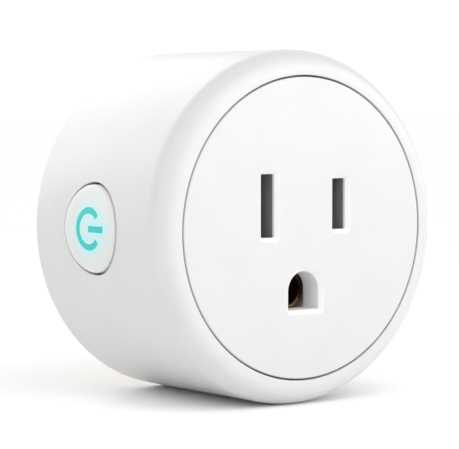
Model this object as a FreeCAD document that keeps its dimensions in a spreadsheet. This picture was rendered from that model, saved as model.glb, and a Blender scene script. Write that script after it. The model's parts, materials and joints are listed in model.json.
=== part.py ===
"""Round smart plug: a wall adapter with a switched outlet, a lit button on its side and a relay inside.

Frame: the origin is the centre of the rear cover's face, the plane that meets the wall outlet. +Y points
into the wall, the way the blades leave, so the outlet face looks along -Y. +Z is up, with the earth pin
below. "Depth" is the distance in front of the wall plane: depth 5 is y = -5. Lengths are millimetres.

Every size is a cell of the "dims" sheet, and each sub-part is bound to those cells by expressions.
"""
import FreeCAD, Part
import os
import Sketcher

# name, value, meaning
DIMENSIONS = (
    # housing
    ("body_dia", 49.4, "outside diameter of the housing"),
    ("body_len", 31.2, "wall plane to outlet face"),
    ("wall", 1.8, "side wall"),
    ("rear_setback", 0.3, "housing rim behind the cover's face"),
    ("rear_round", 0.8, "round on the rear rim"),
    ("bevel_radial", 1.7, "front bevel, measured across the face"),
    ("bevel_axial", 2.4, "front bevel, measured along the side"),
    ("bevel_side_round", 4.0, "round between bevel and side"),
    ("bevel_face_round", 2.4, "round between bevel and face"),
    ("ledge_width", 1.5, "ledge that the face plate sits on"),
    ("ledge_thick", 1.5, "ledge thickness"),
    ("boss_dia", 5.0, "screw boss"),
    ("boss_angle", 40.0, "boss direction above and below the X axis, degrees"),
    ("boss_inset", 3.1, "boss axis from the inner wall"),
    ("boss_rib", 1.6, "rib from boss to wall"),
    ("pilot_dia", 2.0, "screw hole in a boss"),
    ("pilot_deep", 8.0, "its depth"),
    # face plate
    ("plate_dia", 41.7, "outlet face plate"),
    ("plate_thick", 2.4, "plate in front of the ledge"),
    ("plate_round", 0.2, "round on the plate's edge"),
    ("seam_gap", 0.25, "seam around the plate"),
    ("spigot_gap", 0.15, "spigot to ledge"),
    ("plate_skin", 1.0, "plate's thickness over the carrier's noses"),
    ("nose_over", 0.4, "nose wider than the carrier's pocket behind it, each side"),
    ("nose_gap", 0.1, "nose to its socket in the plate"),
    ("hook_width", 5.0, "snap hook"),
    ("hook_thick", 1.2, "snap hook arm"),
    ("hook_len", 2.4, "arm behind the ledge"),
    ("hook_reach", 0.8, "barb beyond the arm"),
    ("barb_len", 1.2, "barb along the arm"),
    ("barb_gap", 0.1, "barb to ledge"),
    # outlet openings
    ("slot_pitch", 12.7, "between the blade slots"),
    ("slot_row_up", 3.2, "slot row above the axis"),
    ("earth_drop", 11.9, "earth centre below the slot row"),
    ("slot_width", 2.3, "blade slot"),
    ("neutral_slot", 8.7, "tall slot"),
    ("line_slot", 7.1, "short slot"),
    ("earth_hole_dia", 5.4, "arched earth opening"),
    ("earth_hole_flat", 2.65, "its centre to its flat floor"),
    ("mouth_chamfer", 0.6, "funnel around each opening"),
    # rear cover
    ("cover_gap", 0.15, "cover to housing"),
    ("cover_thick", 2.4, "rear cover"),
    ("cover_round", 0.3, "round on the cover's edge"),
    ("post_dia", 3.0, "board post"),
    ("post_radius", 18.6, "board posts from the axis"),
    ("blade_fit", 0.05, "blade to cover, each side"),
    ("label_wide", 22.0, "rating label"),
    ("label_high", 7.0, "rating label"),
    ("label_up", 14.2, "label centre above the axis"),
    ("label_sink", 0.25, "label recess"),
    ("label_thick", 0.2, "label"),
    ("label_gap", 0.2, "label to recess edge"),
    # cover screws
    ("head_dia", 3.8, "screw head"),
    ("head_high", 1.3, "screw head"),
    ("head_gap", 0.2, "head to counterbore"),
    ("head_sink", 1.5, "counterbore depth"),
    ("shank_dia", 1.9, "screw shank"),
    ("shank_gap", 0.15, "shank to cover hole"),
    ("screw_len", 7.5, "under the head"),
    ("screw_tip", 1.0, "pointed end"),
    ("recess_wide", 2.2, "cross recess"),
    ("recess_slot", 0.5, "cross recess arm"),
    ("recess_deep", 0.7, "cross recess depth"),
    # blades and earth pin
    ("blade_wide", 6.35, "blade"),
    ("blade_thick", 1.5, "blade"),
    ("blade_len", 17.0, "blade beyond the wall plane"),
    ("blade_corner", 1.4, "corner cut at the tip"),
    ("blade_edge", 0.4, "edge chamfer at the tip"),
    ("blade_hole_dia", 3.2, "hole through the blade"),
    ("blade_hole_at", 11.7, "hole beyond the wall plane"),
    ("shoulder_wide", 8.6, "blade shoulder inside the cover"),
    ("shoulder_thick", 0.8, "shoulder and pin collar"),
    ("tail_wide", 2.4, "soldered tail"),
    ("tail_off", 0.6, "tail from the blade's centre line"),
    ("tail_out", 0.9, "solder tails beyond the board"),
    ("pin_dia", 4.76, "earth pin"),
    ("pin_len", 20.6, "earth pin beyond the wall plane"),
    ("pin_round", 1.7, "round on the pin's tip"),
    ("seat_dia", 5.4, "earth pin where it is pressed in the cover"),
    ("collar_dia", 6.6, "earth pin collar"),
    ("rivet_dia", 2.4, "riveted tail"),
    ("rivet_head", 3.8, "rivet head"),
    ("rivet_high", 0.6, "rivet head"),
    # female contacts and their carrier
    ("blade_room", 18.6, "room for a mating blade behind the face"),
    ("leaf_thick", 0.5, "contact strip"),
    ("mouth_back", 0.6, "contact mouth behind the ledge"),
    ("base_gap", 2.8, "between leaves at the base"),
    ("pinch_gap", 1.2, "between leaves at the pinch"),
    ("mouth_gap", 3.2, "between leaves at the mouth"),
    ("base_rise", 2.0, "parallel stretch above the base"),
    ("pinch_back", 3.2, "pinch behind the mouth"),
    ("neutral_clip", 7.0, "neutral contact height"),
    ("line_clip", 5.8, "line contact height"),
    ("sleeve_bore", 4.8, "earth contact bore"),
    ("sleeve_slit", 1.4, "slit along the sleeve"),
    ("strap_wide", 3.0, "earth strap"),
    ("carrier_wall", 1.0, "contact carrier wall"),
    ("carrier_gap", 0.3, "contact to carrier"),
    ("web_wide", 6.0, "web between carrier parts"),
    ("foot_size", 2.0, "carrier foot"),
    # main board
    ("board_gap", 0.4, "board to housing"),
    ("board_standoff", 3.0, "board to cover"),
    ("board_thick", 1.6, "main board"),
    ("boss_clear", 0.4, "board notch to boss"),
    ("pad_clear", 0.15, "board hole around a lead or tail"),
    ("lead_dia", 0.6, "component lead"),
    # relay
    ("relay_long", 18.4, "relay case"),
    ("relay_high", 10.2, "relay case"),
    ("relay_tall", 15.3, "relay case"),
    ("relay_skin", 0.7, "relay case wall"),
    ("relay_gap", 0.3, "relay to carrier"),
    ("relay_fit", 0.05, "relay base to case"),
    ("relay_base", 1.6, "relay base"),
    ("coil_off", 3.9, "coil axis from the relay's middle"),
    ("flange_dia_coil", 8.0, "bobbin flange"),
    ("flange_thick_coil", 0.8, "bobbin flange"),
    ("coil_dia", 6.8, "coil winding"),
    ("coil_len", 7.2, "coil winding"),
    ("spool_dia", 4.0, "bobbin tube"),
    ("core_dia", 2.6, "iron core"),
    ("core_head", 4.8, "pole face"),
    ("core_head_high", 0.6, "pole face"),
    ("yoke_out", 1.6, "yoke's outer face from the relay's middle"),
    ("yoke_thick", 1.0, "yoke"),
    ("yoke_high", 7.0, "yoke across the relay"),
    ("air_gap", 0.06, "armature clear of the pole when closed"),
    ("armature_len", 8.2, "armature from its hinge"),
    ("armature_tail", 0.9, "armature beyond its hinge"),
    ("armature_thick", 0.8, "armature"),
    ("armature_high", 6.2, "armature across the relay"),
    ("armature_open", 4.0, "open angle, degrees"),
    ("leaf_spring", 0.2, "relay leaf"),
    ("leaf_high", 3.6, "relay leaf across the relay"),
    ("leaf_off", 1.3, "leaf from the yoke"),
    ("leaf_drop", 7.6, "leaf below the hinge"),
    ("tip_dia", 2.2, "relay contact tip"),
    ("tip_thick", 0.6, "relay contact tip"),
    ("tip_drop", 6.3, "contact tips below the hinge"),
    ("tip_gap", 0.05, "between closed tips"),
    ("post_thick", 0.6, "fixed contact post"),
    # through-hole parts
    ("bulk_dia", 8.0, "bulk capacitor"),
    ("bulk_tall", 12.0, "bulk capacitor"),
    ("bulk_across", 15.6, "its place"),
    ("bulk_up", 4.6, "its place"),
    ("output_dia", 6.3, "output capacitor"),
    ("output_tall", 9.0, "output capacitor"),
    ("output_across", 15.2, "its place"),
    ("output_up", -4.8, "its place"),
    ("can_groove", 0.35, "rolled groove in a capacitor can"),
    ("can_groove_at", 1.6, "groove above the board"),
    ("can_round", 0.5, "round on a capacitor can"),
    ("choke_dia", 4.8, "choke"),
    ("choke_tall", 6.0, "choke"),
    ("choke_flange", 0.9, "choke end flange"),
    ("choke_waist", 2.4, "choke core waist"),
    ("choke_across", 9.4, "its place"),
    ("choke_up", -11.6, "its place"),
    ("fuse_dia", 5.4, "micro fuse"),
    ("fuse_tall", 7.5, "micro fuse"),
    ("fuse_across", -9.4, "its place"),
    ("fuse_up", -11.4, "its place"),
    ("varistor_dia", 7.0, "surge absorber disc"),
    ("varistor_thick", 2.8, "surge absorber disc"),
    ("varistor_across", -12.0, "its place"),
    ("varistor_up", -1.0, "its place"),
    ("varistor_rise", 1.0, "disc above the board"),
    ("lead_pitch", 2.5, "between a part's two leads"),
    # button
    ("button_dia", 12.2, "button cap"),
    ("button_gap", 0.34, "cap to housing"),
    ("rim_to_board", 0.6, "retaining flange to main board"),
    ("button_proud", 0.3, "cap beyond the housing"),
    ("button_round", 0.4, "round on the cap's edge"),
    ("cap_skin", 1.5, "cap front at its middle"),
    ("cap_wall", 1.2, "cap side wall"),
    ("cap_rim", 0.9, "retaining flange beyond the cap"),
    ("cap_rim_thick", 0.9, "retaining flange"),
    ("rim_gap", 0.15, "flange to housing"),
    ("icon_dia", 5.9, "power symbol ring"),
    ("icon_line", 0.8, "power symbol stroke"),
    ("icon_bar", 3.5, "power symbol bar"),
    ("icon_open", 80.0, "gap in the ring, degrees"),
    ("icon_fit", 0.03, "light guide to cap"),
    ("guide_thick", 1.0, "light guide base"),
    ("guide_gap", 0.2, "light guide base to cap"),
    ("stem_dia", 3.0, "light guide stem"),
    # switch and its board
    ("switch_back", 3.0, "switch tip behind the inner wall"),
    ("switch_tall", 4.3, "switch above its board"),
    ("switch_size", 6.0, "switch body"),
    ("switch_base_high", 3.0, "moulded base"),
    ("switch_well_dia", 4.4, "well in the base"),
    ("switch_well_deep", 2.0, "well in the base"),
    ("switch_frame", 0.3, "metal frame"),
    ("plunger_dia", 3.4, "plunger"),
    ("plunger_foot", 4.0, "plunger foot"),
    ("plunger_foot_high", 0.9, "plunger foot"),
    ("plunger_gap", 0.1, "plunger to frame"),
    ("dome_dia", 3.9, "snap dome"),
    ("dome_thick", 0.12, "snap dome"),
    ("switch_board_thick", 1.0, "switch board"),
    ("switch_board_high", 16.0, "switch board, up and down"),
    ("switch_board_deep", 14.5, "switch board, front to rear"),
    ("led_long", 2.0, "indicator lamp"),
    ("led_wide", 1.2, "indicator lamp"),
    ("led_tall", 0.8, "indicator lamp"),
    ("led_off", 4.7, "lamps from the button axis"),
    # radio module
    ("radio_wide", 16.0, "radio board"),
    ("radio_deep", 16.5, "radio board, front to rear"),
    ("radio_thick", 0.8, "radio board"),
    ("radio_up", -15.3, "radio board's upper face"),
    ("shield_wide", 11.0, "radio shield can"),
    ("shield_deep", 9.0, "radio shield can"),
    ("shield_tall", 1.8, "radio shield can"),
    ("shield_skin", 0.2, "radio shield can"),
    ("shield_rise", 2.0, "shield above the main board"),
    ("trace_wide", 0.5, "antenna trace"),
    ("trace_thick", 0.1, "antenna trace"),
    ("trace_pitch", 1.4, "antenna turns"),
    ("trace_deep", 3.6, "antenna turns"),
    ("trace_inset", 0.4, "antenna to the board's edge"),
    ("header_pin", 0.6, "square header pin"),
    ("header_rise", 3.0, "header pin above the board"),
    ("header_pitch", 2.54, "between header pins"),
    # parts on the rear of the main board
    ("rectifier_size", 4.7, "bridge rectifier"),
    ("rectifier_tall", 2.2, "bridge rectifier"),
    ("converter_long", 4.9, "converter chip"),
    ("converter_wide", 3.9, "converter chip"),
    ("converter_tall", 1.5, "converter chip"),
    ("regulator_long", 6.5, "voltage regulator"),
    ("regulator_wide", 3.5, "voltage regulator"),
    ("regulator_tall", 1.6, "voltage regulator"),
    ("passive_long", 2.0, "chip resistor or capacitor"),
    ("passive_wide", 1.2, "chip resistor or capacitor"),
    ("passive_tall", 0.6, "chip resistor or capacitor"),
)

# What the sheet's cells give together.
OUTER = "(dims.body_dia / 2)"
INNER = "(dims.body_dia / 2 - dims.wall)"
FACE = "dims.body_len"
LEDGE_FRONT = "(dims.body_len - dims.plate_thick)"
LEDGE_REAR = "(dims.body_len - dims.plate_thick - dims.ledge_thick)"
RECESS = "(dims.plate_dia / 2 + dims.seam_gap)"
LEDGE = f"({RECESS} - dims.ledge_width)"
SPIGOT = f"({LEDGE} - dims.spigot_gap)"
BOSS_RADIUS = f"({INNER} - dims.boss_inset)"
BOSS_ACROSS = f"({BOSS_RADIUS} * cos(dims.boss_angle))"
BOSS_UP = f"({BOSS_RADIUS} * sin(dims.boss_angle))"
SLOT_SIDE = "(dims.slot_pitch / 2)"
SLOT_UP = "dims.slot_row_up"
EARTH_UP = "(dims.slot_row_up - dims.earth_drop)"
BOARD_REAR = "(dims.cover_thick + dims.board_standoff)"
BOARD_FRONT = "(dims.cover_thick + dims.board_standoff + dims.board_thick)"
SHOULDER_FRONT = "(dims.cover_thick + dims.shoulder_thick)"
CLIP_BASE = "(dims.body_len - dims.blade_room - dims.leaf_thick)"
CLIP_MOUTH = f"({LEDGE_REAR} - dims.mouth_back)"
CARRIER_REAR = f"({CLIP_BASE} - dims.carrier_wall)"
POCKET_HALF = "(dims.mouth_gap / 2 + dims.leaf_thick + dims.carrier_gap)"
CARRIER_SIDE = f"({SLOT_SIDE} + {POCKET_HALF} + dims.carrier_wall)"
CARRIER_HALF = "(dims.neutral_clip / 2 + dims.carrier_gap + dims.carrier_wall)"
NOSE_HALF = f"({POCKET_HALF} + dims.nose_over)"
NOSE_FRONT = f"({FACE} - dims.plate_skin)"
CHIMNEY_BORE = "(dims.sleeve_bore / 2 + dims.leaf_thick * 2)"
RELAY_LOW = f"({SLOT_UP} + {CARRIER_HALF} + dims.relay_gap)"
RELAY_MID = f"({RELAY_LOW} + dims.relay_high / 2)"
RELAY_FLOOR = f"({BOARD_FRONT} + dims.relay_base)"
SPOOL_FOOT = f"({RELAY_FLOOR} + dims.yoke_thick)"
POLE = f"({SPOOL_FOOT} + 2 * dims.flange_thick_coil + dims.coil_len + dims.core_head_high)"
LEAF_ACROSS = "(dims.yoke_out + dims.leaf_off + dims.leaf_spring)"
POST_ACROSS = f"({LEAF_ACROSS} + 2 * dims.tip_thick + dims.tip_gap + dims.post_thick / 2)"
BUTTON_R = "(dims.button_dia / 2)"
BUTTON_TOP = "(dims.body_dia / 2 + dims.button_proud)"
CAP_UNDER = "(dims.body_dia / 2 + dims.button_proud - dims.cap_skin)"
RIM_R = "(dims.button_dia / 2 + dims.cap_rim)"
BUTTON_DEPTH = f"({BOARD_FRONT} + {RIM_R} + dims.rim_to_board)"
RIM_TOP = f"(sqrt({INNER} ^ 2 - {RIM_R} ^ 2) - dims.rim_gap)"
SWITCH_TIP = f"({INNER} - dims.switch_back)"
SWITCH_BOARD = f"({SWITCH_TIP} - dims.switch_tall)"
WELL_FLOOR = f"({SWITCH_BOARD} + dims.switch_base_high - dims.switch_well_deep)"
FOOT_TOP = f"({SWITCH_BOARD} + dims.switch_base_high - dims.plunger_gap)"
FOOT_UNDER = f"({FOOT_TOP} - dims.plunger_foot_high)"
DOME_HIGH = f"({FOOT_UNDER} - {WELL_FLOOR})"

DOC = FreeCAD.newDocument("smart_plug")
SHEET = DOC.addObject("Spreadsheet::Sheet", "dims")
PIECES = []


# ---- helpers -------------------------------------------------------------------------------------


def fill_sheet():
    """Write each dimension to a row: its meaning, its value and the value's alias."""
    for row, (alias, value, meaning) in enumerate(DIMENSIONS, start=1):
        SHEET.set(f"A{row}", meaning)
        SHEET.set(f"B{row}", str(value))
        SHEET.setAlias(f"B{row}", alias)
    DOC.recompute()


def number(expression):
    """Value of an expression on the sheet."""
    result = SHEET.evalExpression(expression)
    return float(getattr(result, "Value", result))


def piece(shape, label):
    """Name a finished sub-part and list it for export."""
    shape.Label = label
    PIECES.append(shape)
    return shape


def put(shape, across="0", depth="0", up="0"):
    """Bind an object's place: across is +X, depth is -Y, up is +Z."""
    shape.setExpression("Placement.Base.x", across)
    shape.setExpression("Placement.Base.y", f"-({depth})")
    shape.setExpression("Placement.Base.z", up)
    return shape


def new_body(name):
    """A PartDesign body."""
    return DOC.addObject("PartDesign::Body", name)


def sketch_on(body, plane, offset="0"):
    """A sketch on one of the body's own origin planes, moved along the plane's normal.

    XZ_Plane looks along -Y, so its offset is a depth; YZ_Plane has Y to the right and Z up.
    """
    sketch = body.newObject("Sketcher::SketchObject", f"{body.Name}_sketch")
    origin = next(f for f in body.Origin.OriginFeatures if f.Role == plane)
    sketch.AttachmentSupport = [(origin, "")]
    sketch.MapMode = "FlatFace"
    sketch.setExpression("AttachmentOffset.Base.z", offset)
    return sketch


def bind(sketch, constraint, expression):
    """Add a dimensional constraint whose value is an expression."""
    index = sketch.addConstraint(constraint)
    sketch.setExpression(f"Constraints[{index}]", expression)


def fix_point(sketch, geometry, vertex, across, up):
    """Hold one vertex at two expressions; "0" puts it on an axis."""
    for kind, expression, axis in (("DistanceX", across, -2), ("DistanceY", up, -1)):
        if expression == "0":
            sketch.addConstraint(Sketcher.Constraint("PointOnObject", geometry, vertex, axis))
        else:
            bind(sketch, Sketcher.Constraint(kind, geometry, vertex, number(expression)), expression)


def circle(sketch, across, up, radius):
    """A circle with its centre and radius bound."""
    centre = FreeCAD.Vector(number(across), number(up), 0)
    edge = sketch.addGeometry(Part.Circle(centre, FreeCAD.Vector(0, 0, 1), number(radius)))
    fix_point(sketch, edge, 3, across, up)
    bind(sketch, Sketcher.Constraint("Radius", edge, number(radius)), radius)


def outline(sketch, corners):
    """A closed outline of straight lines through bound corners."""
    points = [FreeCAD.Vector(number(across), number(up), 0) for across, up in corners]
    lines = []
    for start, end in zip(points, points[1:] + points[:1]):
        lines.append(sketch.addGeometry(Part.LineSegment(start, end)))
    for line, following in zip(lines, lines[1:] + lines[:1]):
        sketch.addConstraint(Sketcher.Constraint("Coincident", line, 2, following, 1))
    for line, (across, up) in zip(lines, corners):
        fix_point(sketch, line, 1, across, up)


def rectangle(sketch, across, up, wide, high):
    """A rectangle about a centre."""
    left, right = f"{across} - ({wide}) / 2", f"{across} + ({wide}) / 2"
    low, top = f"{up} - ({high}) / 2", f"{up} + ({high}) / 2"
    outline(sketch, [(left, low), (right, low), (right, top), (left, top)])


def frame_of(left, right, low, top):
    """Corners of a rectangle given by its edges."""
    return [(left, low), (right, low), (right, top), (left, top)]


def pad(sketch, length, reverse=False, symmetric=False):
    """Pad a sketch; reverse pads against its normal."""
    body = sketch.getParentGeoFeatureGroup()
    feature = body.newObject("PartDesign::Pad", f"{body.Name}_pad")
    feature.Profile = sketch
    feature.setExpression("Length", length)
    feature.Reversed = reverse
    if symmetric:
        feature.SideType = "Symmetric"
    DOC.recompute()
    return feature


def pocket(sketch, length, reverse=False, symmetric=False):
    """Cut a sketch into its body, against its normal unless reversed, and make sure that it cuts."""
    body = sketch.getParentGeoFeatureGroup()
    before = body.Shape.Volume
    feature = body.newObject("PartDesign::Pocket", f"{body.Name}_pocket")
    feature.Profile = sketch
    feature.setExpression("Length", length)
    feature.Reversed = reverse
    if symmetric:
        feature.SideType = "Symmetric"
    DOC.recompute()
    if not body.Shape.Volume < before:
        raise RuntimeError(f"{feature.Name} cuts nothing")
    return feature


def revolve(sketch, axis):
    """Turn a sketch a full circle about one of its own axes, H_Axis or V_Axis."""
    body = sketch.getParentGeoFeatureGroup()
    feature = body.newObject("PartDesign::Revolution", f"{body.Name}_revolution")
    feature.Profile = sketch
    feature.ReferenceAxis = (sketch, [axis])
    feature.Angle = 360
    DOC.recompute()
    return feature


def edges_where(body, test):
    """Names of the body's edges that pass a test."""
    return [f"Edge{i}" for i, edge in enumerate(body.Shape.Edges, start=1) if test(edge)]


def dress(body, kind, size, test):
    """Fillet or chamfer the edges that pass a test."""
    base, edges = body.Tip, edges_where(body, test)
    feature = body.newObject(f"PartDesign::{kind}", f"{body.Name}_{kind.lower()}")
    feature.Base = (base, edges)
    feature.setExpression("Radius" if kind == "Fillet" else "Size", size)
    DOC.recompute()
    return feature


def ring_at(depth, radius):
    """Test for a full circle about the Y axis at this depth and radius."""

    def test(edge):
        curve = edge.Curve
        if not isinstance(curve, Part.Circle) or len(edge.Vertexes) != 1:
            return False
        return abs(curve.Center.y + number(depth)) < 1e-4 and abs(curve.Radius - number(radius)) < 1e-4

    return test


def polar(body, features, count):
    """Repeat features about the Y axis."""
    pattern = body.newObject("PartDesign::PolarPattern", f"{body.Name}_pattern")
    pattern.Originals = features
    axis = next(f for f in body.Origin.OriginFeatures if f.Role == "Y_Axis")
    pattern.Axis = (axis, [""])
    pattern.Angle = 360
    pattern.Occurrences = count
    body.Tip = pattern
    DOC.recompute()
    return pattern


def box(name, left, right, rear, front, low, top):
    """A Part box between expressions: across, depth and height."""
    block = DOC.addObject("Part::Box", name)
    block.setExpression("Length", f"({right}) - ({left})")
    block.setExpression("Width", f"({front}) - ({rear})")
    block.setExpression("Height", f"({top}) - ({low})")
    return put(block, left, front, low)


def rod(name, radius, length, across, depth, up, along="front", sweep=None):
    """A Part cylinder from a point: along "front" it runs to -Y, and along "left" to -X."""
    shape = DOC.addObject("Part::Cylinder", name)
    shape.setExpression("Radius", radius)
    shape.setExpression("Height", length)
    turn = FreeCAD.Rotation(FreeCAD.Vector(1, 0, 0), 90)
    if along == "left":
        turn = FreeCAD.Rotation(FreeCAD.Vector(0, 1, 0), -90)
    shape.Placement = FreeCAD.Placement(FreeCAD.Vector(), turn)
    if sweep is not None:
        shape.setExpression("Angle", sweep)
    return put(shape, across, depth, up)


def cut(name, base, tool):
    """base less tool."""
    result = DOC.addObject("Part::Cut", name)
    result.Base, result.Tool = base, tool
    return result


def common(name, base, tool):
    """What base and tool share."""
    result = DOC.addObject("Part::Common", name)
    result.Base, result.Tool = base, tool
    return result


def fuse(name, shapes):
    """Several shapes as one solid."""
    result = DOC.addObject("Part::MultiFuse", name)
    result.Shapes = shapes
    return result


def group(name, shapes):
    """Separate solids as one sub-part."""
    result = DOC.addObject("Part::Compound", name)
    result.Links = shapes
    return result


def boss_places():
    """Centre of each screw boss, as (across, up)."""
    return [
        (BOSS_ACROSS, BOSS_UP),
        (f"-{BOSS_ACROSS}", BOSS_UP),
        (f"-{BOSS_ACROSS}", f"-{BOSS_UP}"),
        (BOSS_ACROSS, f"-{BOSS_UP}"),
    ]


def rib_corners(side, height):
    """Corners of the rib from a boss to the wall; side and height are "" or "-" and pick the quarter."""
    half = "dims.boss_rib / 2"
    corners = []
    for along, sign in ((BOSS_RADIUS, "-"), (BOSS_RADIUS, "+"), (f"({INNER} + dims.wall / 2)", "+"),
                        (f"({INNER} + dims.wall / 2)", "-")):
        other = "+" if sign == "-" else "-"
        across = f"{along} * cos(dims.boss_angle) {other} {half} * sin(dims.boss_angle)"
        up = f"{along} * sin(dims.boss_angle) {sign} {half} * cos(dims.boss_angle)"
        corners.append((f"{side}({across})", f"{height}({up})"))
    return corners


# ---- housing, face plate and rear cover ----------------------------------------------------------


def make_main_housing():
    """Drum with a bevelled front rim, a ledge for the face plate, screw bosses and the button's hole."""
    body = new_body("housing")
    profile = sketch_on(body, "YZ_Plane")
    corners = [
        ("dims.rear_setback", INNER),
        ("dims.rear_setback", OUTER),
        (f"{FACE} - dims.bevel_axial", OUTER),
        (FACE, f"{OUTER} - dims.bevel_radial"),
        (FACE, RECESS),
        (LEDGE_FRONT, RECESS),
        (LEDGE_FRONT, LEDGE),
        (LEDGE_REAR, LEDGE),
        (LEDGE_REAR, INNER),
    ]
    outline(profile, [(f"-({depth})", radius) for depth, radius in corners])
    revolve(profile, "H_Axis")
    dress(body, "Fillet", "dims.bevel_side_round", ring_at(f"{FACE} - dims.bevel_axial", OUTER))
    dress(body, "Fillet", "dims.bevel_face_round", ring_at(FACE, f"{OUTER} - dims.bevel_radial"))
    dress(body, "Fillet", "dims.rear_round", ring_at("dims.rear_setback", OUTER))
    hole = sketch_on(body, "YZ_Plane")
    circle(hole, f"-{BUTTON_DEPTH}", "0", f"{BUTTON_R} + dims.button_gap")
    pocket(hole, f"{OUTER} + 1")
    bosses = sketch_on(body, "XZ_Plane", "dims.cover_thick")
    for across, up in boss_places():
        circle(bosses, across, up, "dims.boss_dia / 2")
    boss_len = f"{LEDGE_REAR} - dims.cover_thick"
    pad(bosses, boss_len)
    ribs = sketch_on(body, "XZ_Plane", "dims.cover_thick")
    for side in ("", "-"):
        for height in ("", "-"):
            outline(ribs, rib_corners(side, height))
    pad(ribs, boss_len)
    pilots = sketch_on(body, "XZ_Plane", "dims.cover_thick")
    for across, up in boss_places():
        circle(pilots, across, up, "dims.pilot_dia / 2")
    pocket(pilots, "dims.pilot_deep", reverse=True)
    return piece(body, "main_housing")


def make_face_plate():
    """Outlet face: a disc with three funnelled openings, a spigot with two sockets and four snap hooks."""
    body = new_body("face")
    disc = sketch_on(body, "XZ_Plane", LEDGE_FRONT)
    circle(disc, "0", "0", "dims.plate_dia / 2")
    pad(disc, "dims.plate_thick")
    spigot = sketch_on(body, "XZ_Plane", LEDGE_REAR)
    circle(spigot, "0", "0", SPIGOT)
    pad(spigot, "dims.ledge_thick")
    dress(body, "Fillet", "dims.plate_round", ring_at(FACE, "dims.plate_dia / 2"))
    sockets = sketch_on(body, "XZ_Plane", LEDGE_REAR)
    for side in (f"-{SLOT_SIDE}", SLOT_SIDE):
        socket_wide = f"2 * ({NOSE_HALF} + dims.nose_gap)"
        rectangle(sockets, side, SLOT_UP, socket_wide, f"2 * ({CARRIER_HALF} + dims.nose_gap)")
    pocket(sockets, f"{NOSE_FRONT} - {LEDGE_REAR}", reverse=True)
    whole = "dims.plate_thick + dims.ledge_thick"
    slots = sketch_on(body, "XZ_Plane", FACE)
    rectangle(slots, f"-{SLOT_SIDE}", SLOT_UP, "dims.slot_width", "dims.neutral_slot")
    rectangle(slots, SLOT_SIDE, SLOT_UP, "dims.slot_width", "dims.line_slot")
    circle(slots, "0", EARTH_UP, "dims.earth_hole_dia / 2")
    pocket(slots, whole)
    floor = sketch_on(body, "XZ_Plane", FACE)
    half = "dims.earth_hole_dia / 2"
    outline(floor, frame_of(f"-{half}", half, f"{EARTH_UP} - dims.earth_hole_flat", EARTH_UP))
    pocket(floor, whole)
    face = number(FACE)
    rim = number("dims.plate_dia / 2 - dims.plate_round - 0.5")

    def mouth(edge):
        box_of = edge.BoundBox
        flat = abs(box_of.YMin + face) < 1e-4 and abs(box_of.YMax + face) < 1e-4
        return flat and max(box_of.XMax, box_of.ZMax) < rim

    dress(body, "Chamfer", "dims.mouth_chamfer", mouth)
    hook = f"sqrt({SPIGOT} ^ 2 - (dims.hook_width / 2) ^ 2)"
    half_hook = "dims.hook_width / 2"
    arm = sketch_on(body, "XZ_Plane", LEDGE_REAR)
    outline(arm, frame_of(f"{hook} - dims.hook_thick", hook, f"-{half_hook}", half_hook))
    arm_pad = pad(arm, "dims.hook_len", reverse=True)
    barb = sketch_on(body, "XZ_Plane", f"{LEDGE_REAR} - dims.barb_gap")
    inside = f"{hook} - dims.hook_thick / 2"
    outline(barb, frame_of(inside, f"{hook} + dims.hook_reach", f"-{half_hook}", half_hook))
    barb_pad = pad(barb, "dims.barb_len", reverse=True)
    polar(body, [arm_pad, barb_pad], 4)
    return piece(body, "face_plate")


def make_rear_cover():
    """Disc that closes the rear: blade openings, screw seats, a label recess and posts for the board."""
    body = new_body("cover")
    disc = sketch_on(body, "XZ_Plane")
    circle(disc, "0", "0", f"{INNER} - dims.cover_gap")
    pad(disc, "dims.cover_thick")
    dress(body, "Fillet", "dims.cover_round", ring_at("0", f"{INNER} - dims.cover_gap"))
    openings = sketch_on(body, "XZ_Plane")
    slit_wide = "dims.blade_thick + 2 * dims.blade_fit"
    slit_high = "dims.blade_wide + 2 * dims.blade_fit"
    for side in (f"-{SLOT_SIDE}", SLOT_SIDE):
        rectangle(openings, side, SLOT_UP, slit_wide, slit_high)
    circle(openings, "0", EARTH_UP, "dims.seat_dia / 2")
    for across, up in boss_places():
        circle(openings, across, up, "dims.shank_dia / 2 + dims.shank_gap")
    pocket(openings, "dims.cover_thick", reverse=True)
    seats = sketch_on(body, "XZ_Plane")
    for across, up in boss_places():
        circle(seats, across, up, "dims.head_dia / 2 + dims.head_gap")
    pocket(seats, "dims.head_sink", reverse=True)
    recess = sketch_on(body, "XZ_Plane")
    rectangle(recess, "0", "dims.label_up", "dims.label_wide", "dims.label_high")
    pocket(recess, "dims.label_sink", reverse=True)
    posts = sketch_on(body, "XZ_Plane", "dims.cover_thick")
    far = "dims.post_radius"
    for across, up in ((far, "0"), (f"-{far}", "0"), ("0", far), ("0", f"-{far}")):
        circle(posts, across, up, "dims.post_dia / 2")
    pad(posts, "dims.board_standoff")
    return piece(body, "rear_cover")


def make_rating_label():
    """Blank sticker in the cover's recess."""
    wide = "(dims.label_wide / 2 - dims.label_gap)"
    high = "(dims.label_high / 2 - dims.label_gap)"
    rear = "dims.label_sink - dims.label_thick"
    low, top = f"dims.label_up - {high}", f"dims.label_up + {high}"
    sticker = box("label", f"-{wide}", wide, rear, "dims.label_sink", low, top)
    return piece(sticker, "rating_label")


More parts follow.
